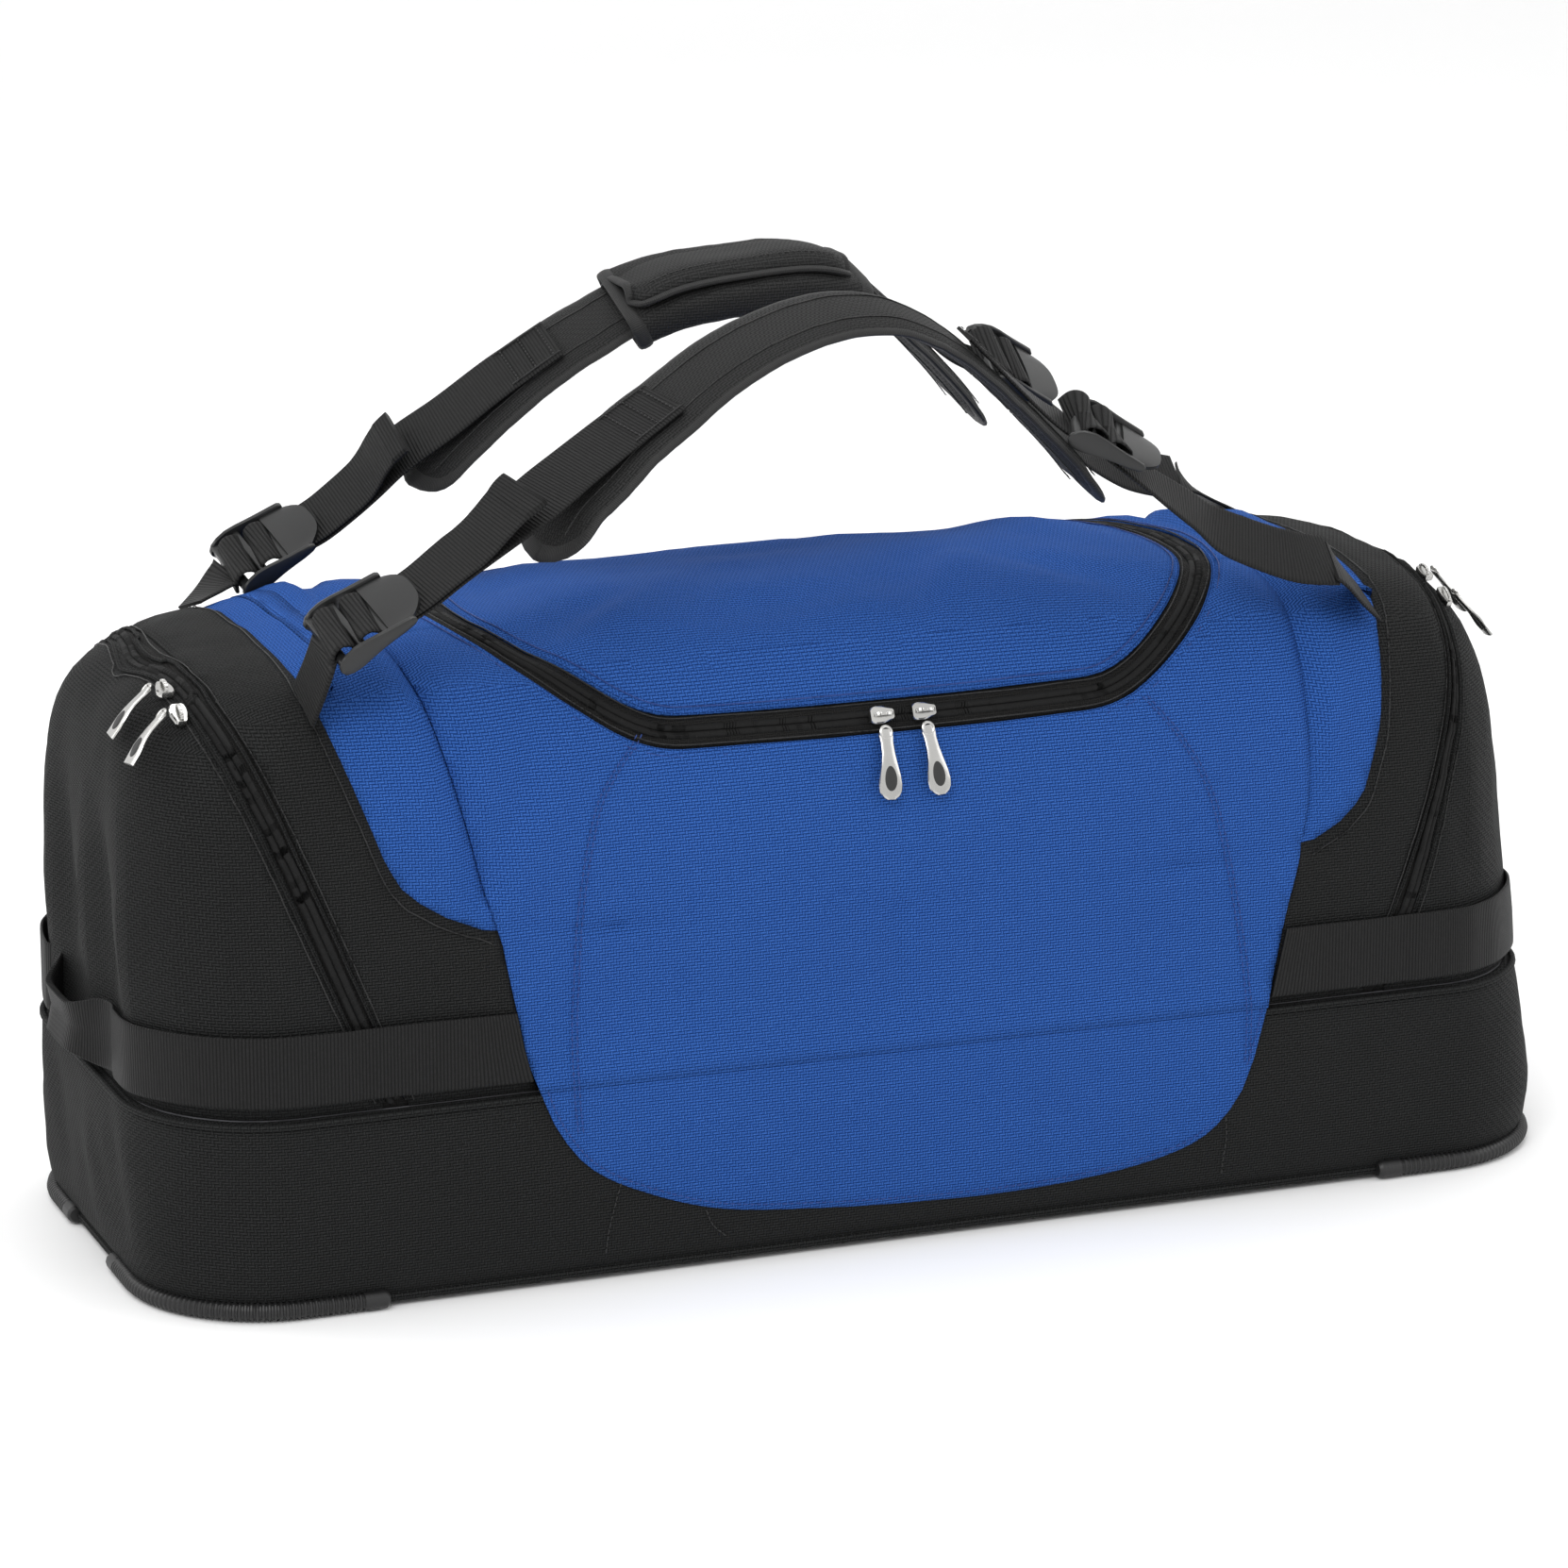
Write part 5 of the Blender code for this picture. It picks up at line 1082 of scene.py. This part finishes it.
WRAP0, WRAP1 = -.078, .050
def tilt(P):
    """Width direction of a strap at each point: the front edge hangs lower than the rear edge."""
    a = np.radians(np.interp(np.asarray(P)[:, 0], [-.26, -.20, -.14, -.05, .06, .15, .26], [20, 27, 22, 15, 11, 8, 2]))
    return np.column_stack([np.zeros(len(P)), np.cos(a), np.sin(a)])
def tilt1(p): return tilt(np.array([p]))[0]
def tiltr(P):
    """The same for the right webbing, which twists to show its upper face to the front."""
    a = np.radians(np.interp(np.asarray(P)[:, 0], [.06, .12, .16, .20, .24, .262, .28], [11, 17, 26, 38, 40, 34, 30]))
    return np.column_stack([np.zeros(len(P)), np.cos(a), np.sin(a)])
for nm, S in STRAPS.items():
    body = nm + "_strap"
    pad = catmull(S["pad"], 14); pad, s = resample(pad, .0030)
    r_ = noise3(pad, .05, 31 + len(nm))
    pad = pad + np.column_stack([0 * r_, .0009 * r_, .0006 * r_])
    o = sweep(nm + "_shoulder_pad", pad, tilt(pad), lambda i: puff(i, len(pad), s=s), M_PAD, body)
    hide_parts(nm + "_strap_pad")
    T, Wd, Nn = frames(pad, tilt(pad))
    if Nn[len(Nn) // 2][2] < 0: Nn = -Nn
    # edge binding round the whole outline
    hw = np.array([PAD_W / 2 * (1.0 if min(a, s[-1] - a) >= .018 else math.sqrt(max(.04, 1 - (1 - min(a, s[-1] - a) / .018) ** 2))) for a in s])
    loop = np.vstack([pad + Wd * (hw - .0044)[:, None], (pad - Wd * (hw - .0044)[:, None])[::-1]])
    lw = np.vstack([Wd, -Wd[::-1]])
    ln_ = np.vstack([Nn, Nn[::-1]])
    def bind(i): return [(.0062 * math.cos(t), .0022 * math.sin(t)) for t in np.linspace(0, 2 * math.pi, 13)[:-1]]
    Tl = np.roll(loop, -1, 0) - np.roll(loop, 1, 0)
    wl_ = np.cross(ln_, Tl); wl_ /= np.linalg.norm(wl_, axis=1, keepdims=True)
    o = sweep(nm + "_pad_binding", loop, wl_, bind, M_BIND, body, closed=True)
    for sd in (-1, 1):
        for up in (-1, 1):
            P = pad[4:-4] + Wd[4:-4] * sd * (PAD_W / 2 - .0125) + Nn[4:-4] * up * (PAD_T / 2 * .93)
            stitches("%s_pad_stitch_%s%s" % (nm, "a" if sd < 0 else "b", "t" if up > 0 else "u"), P, Nn[4:-4] * up, M_THREAD_K, body, .0040, .0030, .0004)
    # webbing either side, sewn on to the pad and threaded through the buckles
    wl = catmull(S["webl"], 10); wl, _ = resample(wl, .004)
    wr = catmull(S["webr"], 10); wr, _ = resample(wr, .004)
    def onpad(P):
        Q = P.copy()
        for i in range(len(Q)):
            d = np.linalg.norm(pad - Q[i], axis=1); k = int(np.argmin(d))
            if 0 < k < len(pad) - 1:
                h = (Q[i] - pad[k]).dot(Nn[k])
                want = PAD_T / 2 + .0018
                if d[k] < .030 and h < want: Q[i] = Q[i] + Nn[k] * (want - h)
        Q[1:-1] = (Q[:-2] + 2 * Q[1:-1] + Q[2:]) / 4
        return Q
    wl, wr = onpad(wl), onpad(wr)
    tw = wr[:, 0] <= 1
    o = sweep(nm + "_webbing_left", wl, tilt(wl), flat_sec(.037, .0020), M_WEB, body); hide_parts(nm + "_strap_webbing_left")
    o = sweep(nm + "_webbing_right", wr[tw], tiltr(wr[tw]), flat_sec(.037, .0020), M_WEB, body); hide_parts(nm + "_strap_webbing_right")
    # sewn patches on the pad: two cross rows and two long rows at each end
    for q, P in (("l", wl[-9:]), ("r", wr[:9])):
        t_, w_, n_ = frames(P, tilt(P))
        if n_[0][2] < 0: n_ = -n_
        for sd in (-.0155, .0155):
            stitches("%s_patch_%s_%d" % (nm, q, int(sd * 10000) + 200), P + w_ * sd + n_ * .0014, n_, M_THREAD_K, body, .0030, .0022, .0004)
        for k in (1, 4, 7):
            c = P[k]; L = np.array([c + w_[k] * a + n_[k] * .0014 for a in np.linspace(-.0155, .0155, 10)])
            stitches("%s_patchx_%s_%d" % (nm, q, k), L, np.tile(n_[k], (10, 1)), M_THREAD_K, body, .0030, .0022, .0004)
    # free end of the webbing: lies along the strap from the buckle and flares away at its folded end
    T_, W_, N_ = frames(wl, tilt(wl))
    if N_[len(N_) // 2][2] < 0: N_ = -N_
    k1 = int(np.argmin(np.abs(wl[:, 0] - (-.196 if nm == "front" else -.193))))
    tl_ = []
    for i in range(1, k1 + 1):
        f = i / k1
        tl_.append(wl[i] + N_[i] * (.0024 + .0085 * sstep(np.array(f), .55, 1.0)) + T_[i] * .001)
    tl_ = catmull(tl_[::2] + [tl_[-1]], 4)
    def tsec(i, n=len(tl_)):
        f = i / (n - 1)
        return flat_sec(.037, .0020 if f < .80 else .0044)
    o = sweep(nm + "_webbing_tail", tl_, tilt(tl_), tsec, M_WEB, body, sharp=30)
    # lower buckle, tilted with the strap, with the webbing threaded over its bars
    a = wl[0]
    tv = np.array((1, 0, .42)); tv /= np.linalg.norm(tv); wv = tilt1(a)
    ladder_lock(nm + "_lower_ladder_lock", a - tv * .0150, tv, .046, .050, body, wv)
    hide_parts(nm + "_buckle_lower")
    nv_ = np.cross(tv, wv); nv_ = nv_ if nv_[2] > 0 else -nv_
    c_ = a - tv * .0150
    for q, pts in (("a", ((-.0225, -.0045), (-.0205, .0030), (-.0160, .0062), (-.0105, .0045), (-.0080, -.0010))),
                   ("b", ((-.0060, -.0010), (-.0040, .0050), (.0010, .0066), (.0060, .0040), (.0075, -.0005)))):
        lp = catmull([c_ + tv * u + nv_ * v for u, v in pts], 8)
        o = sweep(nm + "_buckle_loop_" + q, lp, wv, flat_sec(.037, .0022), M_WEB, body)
    # upper buckle on the pad's right end
    k = int(np.argmin(np.abs(wr[:, 0] - (.131 if nm == "front" else .157))))
    tn = wr[min(len(wr) - 1, k + 3)] - wr[k - 3]; tn = -tn / np.linalg.norm(tn); wv = tiltr(np.array([wr[k] + np.array([.022, 0, 0])]))[0]
    nv_ = np.cross(tn, wv); nv_ = nv_ if nv_[2] > 0 else -nv_
    c_ = wr[k] + nv_ * .0052
    ladder_lock(nm + "_upper_ladder_lock", c_, -tn, .044, .050, body, wv)
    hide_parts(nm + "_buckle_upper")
    for q, pts in (("c", ((-.0215, -.0045), (-.0195, .0035), (-.0150, .0064), (-.0100, .0045), (-.0080, -.0010))),
                   ("d", ((-.0060, -.0010), (-.0040, .0050), (.0010, .0066), (.0060, .0040), (.0075, -.0005)))):
        lp = catmull([c_ - tn * u + nv_ * v for u, v in pts], 8)
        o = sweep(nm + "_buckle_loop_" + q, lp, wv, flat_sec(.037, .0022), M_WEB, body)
    # anchors sewn into the shoulder seams
    y0 = S["y0"]
    def lie(x, y):
        """The lowest tilted strap that clears the fabric at a point: its height and its tilt."""
        D = np.linspace(-.016, .016, 9)
        h = [TREE.ray_cast(Vector((x, y + d, .6)), Vector((0, 0, -1)))[0] for d in D]
        z = np.array([q.z if q is not None else float(top_z(x, abs(y))) for q in h])
        a_ = max(-.25, min(.42, math.atan((z[7] - z[1]) / .024)))
        return float((z - D * math.tan(a_)).max()), a_
    def anchor(x0, x1, z1):
        ye = y0 - math.copysign(.012, y0) if nm == "front" else y0 - math.copysign(.006, y0)
        z0, a_ = lie(x0, ye); z0 += .0016
        return catmull([(x0, ye, z0), (x0 + (x1 - x0) * .45, ye + (y0 - ye) * .5, z0 + (z1 - z0) * .42), (x0 + (x1 - x0) * .8, ye + (y0 - ye) * .9, z0 + (z1 - z0) * .80), (x1, y0, z1)], 8), a_
    for side, x0, x1, z1 in (("left", -.3150 if nm == "front" else -.3160, a[0] - .0330, a[2] - .0160), ("right", wr[-1][0] + .0290, wr[-1][0] + .0006, float(wr[-1][2]))):
        P, a0 = anchor(x0, x1, z1)
        a1 = math.atan2(*( (tilt if side == "left" else tiltr)(P[-1:])[0][[2, 1]]))
        f_ = np.linspace(0, 1, len(P)) ** 1.2; an = a0 * (1 - f_) + a1 * f_
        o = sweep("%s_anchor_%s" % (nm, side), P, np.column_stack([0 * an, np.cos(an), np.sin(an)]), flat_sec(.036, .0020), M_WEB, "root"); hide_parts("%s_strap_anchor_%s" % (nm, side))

# ------------------------------------------------------------------ handle wrap on the rear strap
S = STRAPS["rear"]
pad = catmull(S["pad"], 14); pad, s = resample(pad, .0030)
sel = pad[(pad[:, 0] >= WRAP0) & (pad[:, 0] <= WRAP1)]
T, Wd, Nn = frames(sel, tilt(sel))
if Nn[0][2] < 0: Wd, Nn = Wd, -Nn
def tube(hw, ht, k=28, e=.55):
    return [(hw * math.copysign(abs(math.cos(t)) ** e, math.cos(t)), ht * math.copysign(abs(math.sin(t)) ** e, math.sin(t))) for t in np.linspace(0, 2 * math.pi, k + 1)[:-1]]
V, F = [], []
k = 28
L = len(sel)
bulge = [1 + .04 * math.sin(math.pi * i / (L - 1)) for i in range(L)]
for i in range(L):
    for a, b in tube(PAD_W / 2 + .0062, (PAD_T / 2 + .0068) * bulge[i]):
        V.append(sel[i] + Wd[i] * a + Nn[i] * b)
V = np.array(V)
F = [(i * k + j, i * k + (j + 1) % k, (i + 1) * k + (j + 1) % k, (i + 1) * k + j) for i in range(L - 1) for j in range(k)]
nv = vnormals(V, F); c0 = sel[L // 2]
if ((V - np.repeat(sel, k, 0)) * nv).sum() < 0:
    F = [tuple(reversed(f)) for f in F]; nv = -nv
W_, G_ = thicken(V + nv * (.0006 * noise3(V, .03, 77))[:, None], F, .0030, nv)
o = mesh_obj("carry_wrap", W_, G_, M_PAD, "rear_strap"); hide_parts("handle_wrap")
for i, nm in ((0, "left"), (L - 1, "right")):
    ring = np.array([sel[i] + Wd[i] * a + Nn[i] * b for a, b in tube(PAD_W / 2 + .0058, PAD_T / 2 + .0064)])
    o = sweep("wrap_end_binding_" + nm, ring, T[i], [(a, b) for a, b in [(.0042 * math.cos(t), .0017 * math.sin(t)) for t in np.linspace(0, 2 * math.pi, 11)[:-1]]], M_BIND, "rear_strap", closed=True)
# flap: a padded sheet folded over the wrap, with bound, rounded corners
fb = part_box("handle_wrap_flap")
yc = float(np.mean(sel[:, 1]))
X = np.linspace(WRAP0 - .001, WRAP1 - .004, 44); Y = np.linspace(-1, 1, 22)
V, F = [], []
zc = np.interp(X, sel[:, 0], sel[:, 2])
for i, x in enumerate(X):
    ex = min(x - X[0], X[-1] - x)
    for v in Y:
        h = .0275
        if v < 0 and ex < .012: h2 = h - .012 + math.sqrt(max(0, .012 ** 2 - (.012 - ex) ** 2))
        else: h2 = h
        y = v * (h2 if v < 0 else h)
        drop_ = .0085 * (abs(v) ** 5)
        V.append((x, yc + y, zc[i] + PAD_T / 2 + .0120 - drop_ + .0006 * math.sin(x * 90) * (1 - abs(v))))
for i in range(len(X) - 1):
    for j in range(len(Y) - 1):
        a = i * len(Y) + j
        F.append((a, a + len(Y), a + len(Y) + 1, a + 1))
V = np.array(V)
W_, G_ = thicken(V, F, .0024)
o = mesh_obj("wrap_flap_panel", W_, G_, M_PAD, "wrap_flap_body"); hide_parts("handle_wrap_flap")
ny = len(Y)
border = [i * ny for i in range(len(X))] + [(len(X) - 1) * ny + j for j in range(1, ny)] + [i * ny + ny - 1 for i in reversed(range(len(X) - 1))] + [j for j in reversed(range(1, ny - 1))]
bp = V[border]; bp, _ = resample(np.vstack([bp, bp[:1]]), .003); bp = bp[:-1]
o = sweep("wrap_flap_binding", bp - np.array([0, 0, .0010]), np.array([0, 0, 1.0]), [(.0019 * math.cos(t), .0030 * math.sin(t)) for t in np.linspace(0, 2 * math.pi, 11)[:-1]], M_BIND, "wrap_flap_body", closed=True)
st = np.array([V[i * ny + 3] for i in range(3, len(X) - 3)]) + np.array([0, 0, .0004])
stitches("wrap_flap_stitch", st, np.tile([0, 0, 1.0], (len(st), 1)), M_THREAD_K, "wrap_flap_body")

# ------------------------------------------------------------------ sliders and pulls
def slider(name, c, t, n, node, body):
    """Zip slider: upper plate with two rounded shoulders, side cheeks and the arched bridge that holds the pull."""
    c, t, n = (np.array(v, float) for v in (c, t, n))
    t /= np.linalg.norm(t); n -= t * n.dot(t); n /= np.linalg.norm(n); w = np.cross(t, n)
    parts = []
    prof = [(-.0066, .0030), (-.0056, .0042), (-.003, .0048), (.0005, .0046), (.0038, .0036), (.0060, .0031), (.0068, .0022)]
    V, F = [], []
    k = 10
    rows = [(-.0022, .86), (-.0016, 1), (.0004, 1), (.0012, .84)]
    for h, q in rows:
        for a, hw in prof: V.append(c + t * a * (.98 if q < 1 else 1) + w * hw * q + n * h)
        for a, hw in reversed(prof): V.append(c + t * a * (.98 if q < 1 else 1) - w * hw * q + n * h)
    m = len(prof) * 2
    for r in range(len(rows) - 1):
        for j in range(m): F.append((r * m + j, r * m + (j + 1) % m, (r + 1) * m + (j + 1) % m, (r + 1) * m + j))
    F.append(tuple(reversed(range(m)))); F.append(tuple((len(rows) - 1) * m + j for j in range(m)))
    parts.append((V, F))
    arch = [c + t * a + n * h for a, h in ((-.0046, .0008), (-.0040, .0026), (-.0020, .0037), (.0015, .0038), (.0042, .0030), (.0056, .0014))]
    for p, q in zip(arch, arch[1:]): parts.append(bar(p, q, .0011, .0008, n, 8))
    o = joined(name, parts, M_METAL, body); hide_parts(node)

def zip_pull(name, h, d, n, length, node, body):
    """Tapered, slightly curved pull: a wire-like eye, a neck, and a rounded paddle holding a rubber oval."""
    h, d, n = (np.array(v, float) for v in (h, d, n))
    d /= np.linalg.norm(d); n -= d * n.dot(d); n /= np.linalg.norm(n); s = np.cross(d, n)
    sc = length / .0365
    prof = [(-.0010, .0030, 0), (.0, .0038, 0), (.0030, .0040, .0002), (.0060, .0036, .0006), (.0120, .0038, .0013), (.0180, .0047, .0016), (.0240, .0060, .0014), (.0290, .0066, .0008),
            (.0325, .0062, .0002), (.0350, .0046, -.0002), (length, .0024, -.0004)]
    def pt(a, v, b): return h + d * a + s * v + n * b
    A_ = np.array([p[0] * (sc if p[0] > 0 and p[0] < length else 1) for p in prof]); HWs = np.array([p[1] for p in prof]); B_ = np.array([p[2] for p in prof])
    V, F = [], []
    aa = np.linspace(-.0010, length, 40)
    sec = 14
    for a in aa:
        hw, bb = np.interp(a, A_, HWs), np.interp(a, A_, B_)
        for j in range(sec):
            t = 2 * math.pi * j / sec
            V.append(pt(a, hw * math.copysign(abs(math.cos(t)) ** .7, math.cos(t)), bb + .00115 * math.copysign(abs(math.sin(t)) ** .7, math.sin(t))))
    for i in range(len(aa) - 1):
        for j in range(sec): F.append((i * sec + j, i * sec + (j + 1) % sec, (i + 1) * sec + (j + 1) % sec, (i + 1) * sec + j))
    F.append(tuple(reversed(range(sec)))); F.append(tuple((len(aa) - 1) * sec + j for j in range(sec)))
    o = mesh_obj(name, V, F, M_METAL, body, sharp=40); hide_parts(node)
    # raised rim and black rubber oval in the paddle, on both faces
    for up in (-1, 1):
        V, F = [], []
        k = 24
        for rr_, hh in ((1.0, .0009), (.96, .0014), (.80, .0016), (.4, .0018), (.02, .00185)):
            for j in range(k):
                t = 2 * math.pi * j / k
                a = (.0255 + .0068 * rr_ * math.cos(t)) * sc; v = .0034 * rr_ * math.sin(t) * (1 + .12 * math.cos(t))
                V.append(pt(a, v, np.interp(a, A_, B_) + up * hh))
        for i in range(4):
            for j in range(k): F.append((i * k + j, i * k + (j + 1) % k, (i + 1) * k + (j + 1) % k, (i + 1) * k + j))
        F.append(tuple(4 * k + j for j in range(k)))
        F.append(tuple(reversed(range(k))))
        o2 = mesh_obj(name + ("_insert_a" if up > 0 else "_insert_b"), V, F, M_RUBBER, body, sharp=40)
    # eye ring round the slider's bridge
    ring = np.array([pt(.0008 + .0030 * math.cos(t) * 1.1, .0030 * math.sin(t), .0006) for t in np.linspace(0, 2 * math.pi, 25)[:-1]])
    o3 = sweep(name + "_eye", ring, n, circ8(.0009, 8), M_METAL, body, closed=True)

joints = {j["name"]: j for j in frame["joints"]}
for nm in ("left", "right"):
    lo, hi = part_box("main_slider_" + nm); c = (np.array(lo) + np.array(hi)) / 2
    y, z = LID_Y0, float(top_z(c[0], LID_Y0))
    slope = float(top_z(c[0], LID_Y0 + .004) - top_z(c[0], LID_Y0 - .004)) / .008
    n = np.array([0, -slope, 1.0]); n /= np.linalg.norm(n); t = np.array([0, -1.0, -slope]); t /= np.linalg.norm(t)
    p, _ = on_surface((c[0], y, z))
    slider("zip_slider_" + nm, p + n * .0034, (1, 0, 0), n, "main_slider_" + nm, "main_slider_%s_body" % nm)
    h = np.array(joints["main_pull_%s_lift" % nm]["pos_m"])
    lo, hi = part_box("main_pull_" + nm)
    e = np.array([c[0], lo[1] + .0012, lo[2]]); s0 = np.array([c[0], hi[1] - .001, hi[2]])
    d = e - h
    hh = h.copy()
    sway = np.array([-.10 if nm == "left" else .16, 0, 0])
    zip_pull("zip_pull_" + nm, hh, d / np.linalg.norm(d) + sway * .5, np.array([0, -1, .5]), .0365, "main_pull_" + nm, "main_pull_%s_body" % nm)
for side, sx in (("left", -1), ("right", 1)):
    for k in "ab":
        h = unlean(joints["end_pull_%s_%s_lift" % (side, k)]["pos_m"])
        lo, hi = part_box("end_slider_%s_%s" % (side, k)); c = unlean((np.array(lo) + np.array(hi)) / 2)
        ax = np.array(joints["end_slider_%s_%s_run" % (side, k)]["axis"])
        n = np.cross(ax, np.array([1.0, 0, 0])); n = n if n[2] > 0 else -n
        p, _ = on_surface(c)
        q = c * .4 + (p + n * .0030) * .6
        slider("end_zip_slider_%s_%s" % (side, k), q, ax, n, "end_slider_%s_%s" % (side, k), "end_slider_%s_%s_body" % (side, k))
        zip_pull("end_zip_pull_%s_%s" % (side, k), h + (q - c) * .8, np.array([sx * .64, (-.16 if k == "a" else .05), -.76]), np.array([sx * .76, 0, .64]), .0310, "end_pull_%s_%s" % (side, k), "end_pull_%s_%s_body" % (side, k))

# ------------------------------------------------------------------ floor, light, camera
def stage_mat(name, c):
    m = bpy.data.materials.new(name); nt, N, L, P = nodes_of(m)
    P.inputs["Base Color"].default_value = (*c, 1); P.inputs["Roughness"].default_value = .9; P.inputs["Specular IOR Level"].default_value = .1
    return m
me = bpy.data.meshes.new("floor")
V = [(-9, -9, 0), (9, -9, 0)]; F = []
prof_ = [(-9.0, 0.0), (4.2, 0.0)] + [(4.2 + 1.6 * math.sin(t), 1.6 - 1.6 * math.cos(t)) for t in np.linspace(.1, math.pi / 2, 12)] + [(5.8, 7.0)]
V = [(x, y, z - .0006) for y, z in prof_ for x in (-9, 9)]
F = [(2 * i, 2 * i + 1, 2 * i + 3, 2 * i + 2) for i in range(len(prof_) - 1)]
me.from_pydata(V, [], F); me.shade_smooth(); me.materials.append(stage_mat("pale_floor", (.95, .95, .95)))
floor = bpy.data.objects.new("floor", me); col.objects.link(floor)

def area(name, loc, target, size, power, c=(1, 1, 1)):
    li = bpy.data.lights.new(name, 'AREA'); li.shape = 'RECTANGLE'; li.size, li.size_y = size; li.energy = power; li.color = c
    o = bpy.data.objects.new(name, li); col.objects.link(o); o.location = loc
    o.rotation_euler = (Vector(target) - Vector(loc)).to_track_quat('-Z', 'Y').to_euler()
area("key", (-1.6, -2.2, 2.6), (0, 0, .2), (1.5, 1.2), 40)
area("fill", (2.6, -1.8, 1.5), (0, 0, .2), (1.4, 1.4), 9)
area("top", (.2, .3, 3.0), (0, 0, .2), (2.0, 1.5), 26)
area("rim", (-2.4, 1.6, 1.8), (0, 0, .3), (1.0, 1.4), 14)
w = bpy.data.worlds.new("studio"); bpy.context.scene.world = w; w.use_nodes = True
bg = w.node_tree.nodes.get("Background") or w.node_tree.nodes.new("ShaderNodeBackground")
bg.inputs[0].default_value = (1, 1, 1, 1); bg.inputs[1].default_value = .98
cam = bpy.data.cameras.new("camera"); cam.sensor_width = 36; cam.lens = 136.8; cam.clip_end = 60
co = bpy.data.objects.new("camera", cam); col.objects.link(co)
co.location = (-1.15707, -2.95271, 1.06738)
co.rotation_euler = (Vector((-.0085, 0, .21846)) - co.location).to_track_quat('-Z', 'Y').to_euler()
bpy.context.scene.camera = co
bpy.context.scene.view_settings.view_transform = 'Standard'
bpy.context.view_layer.update()
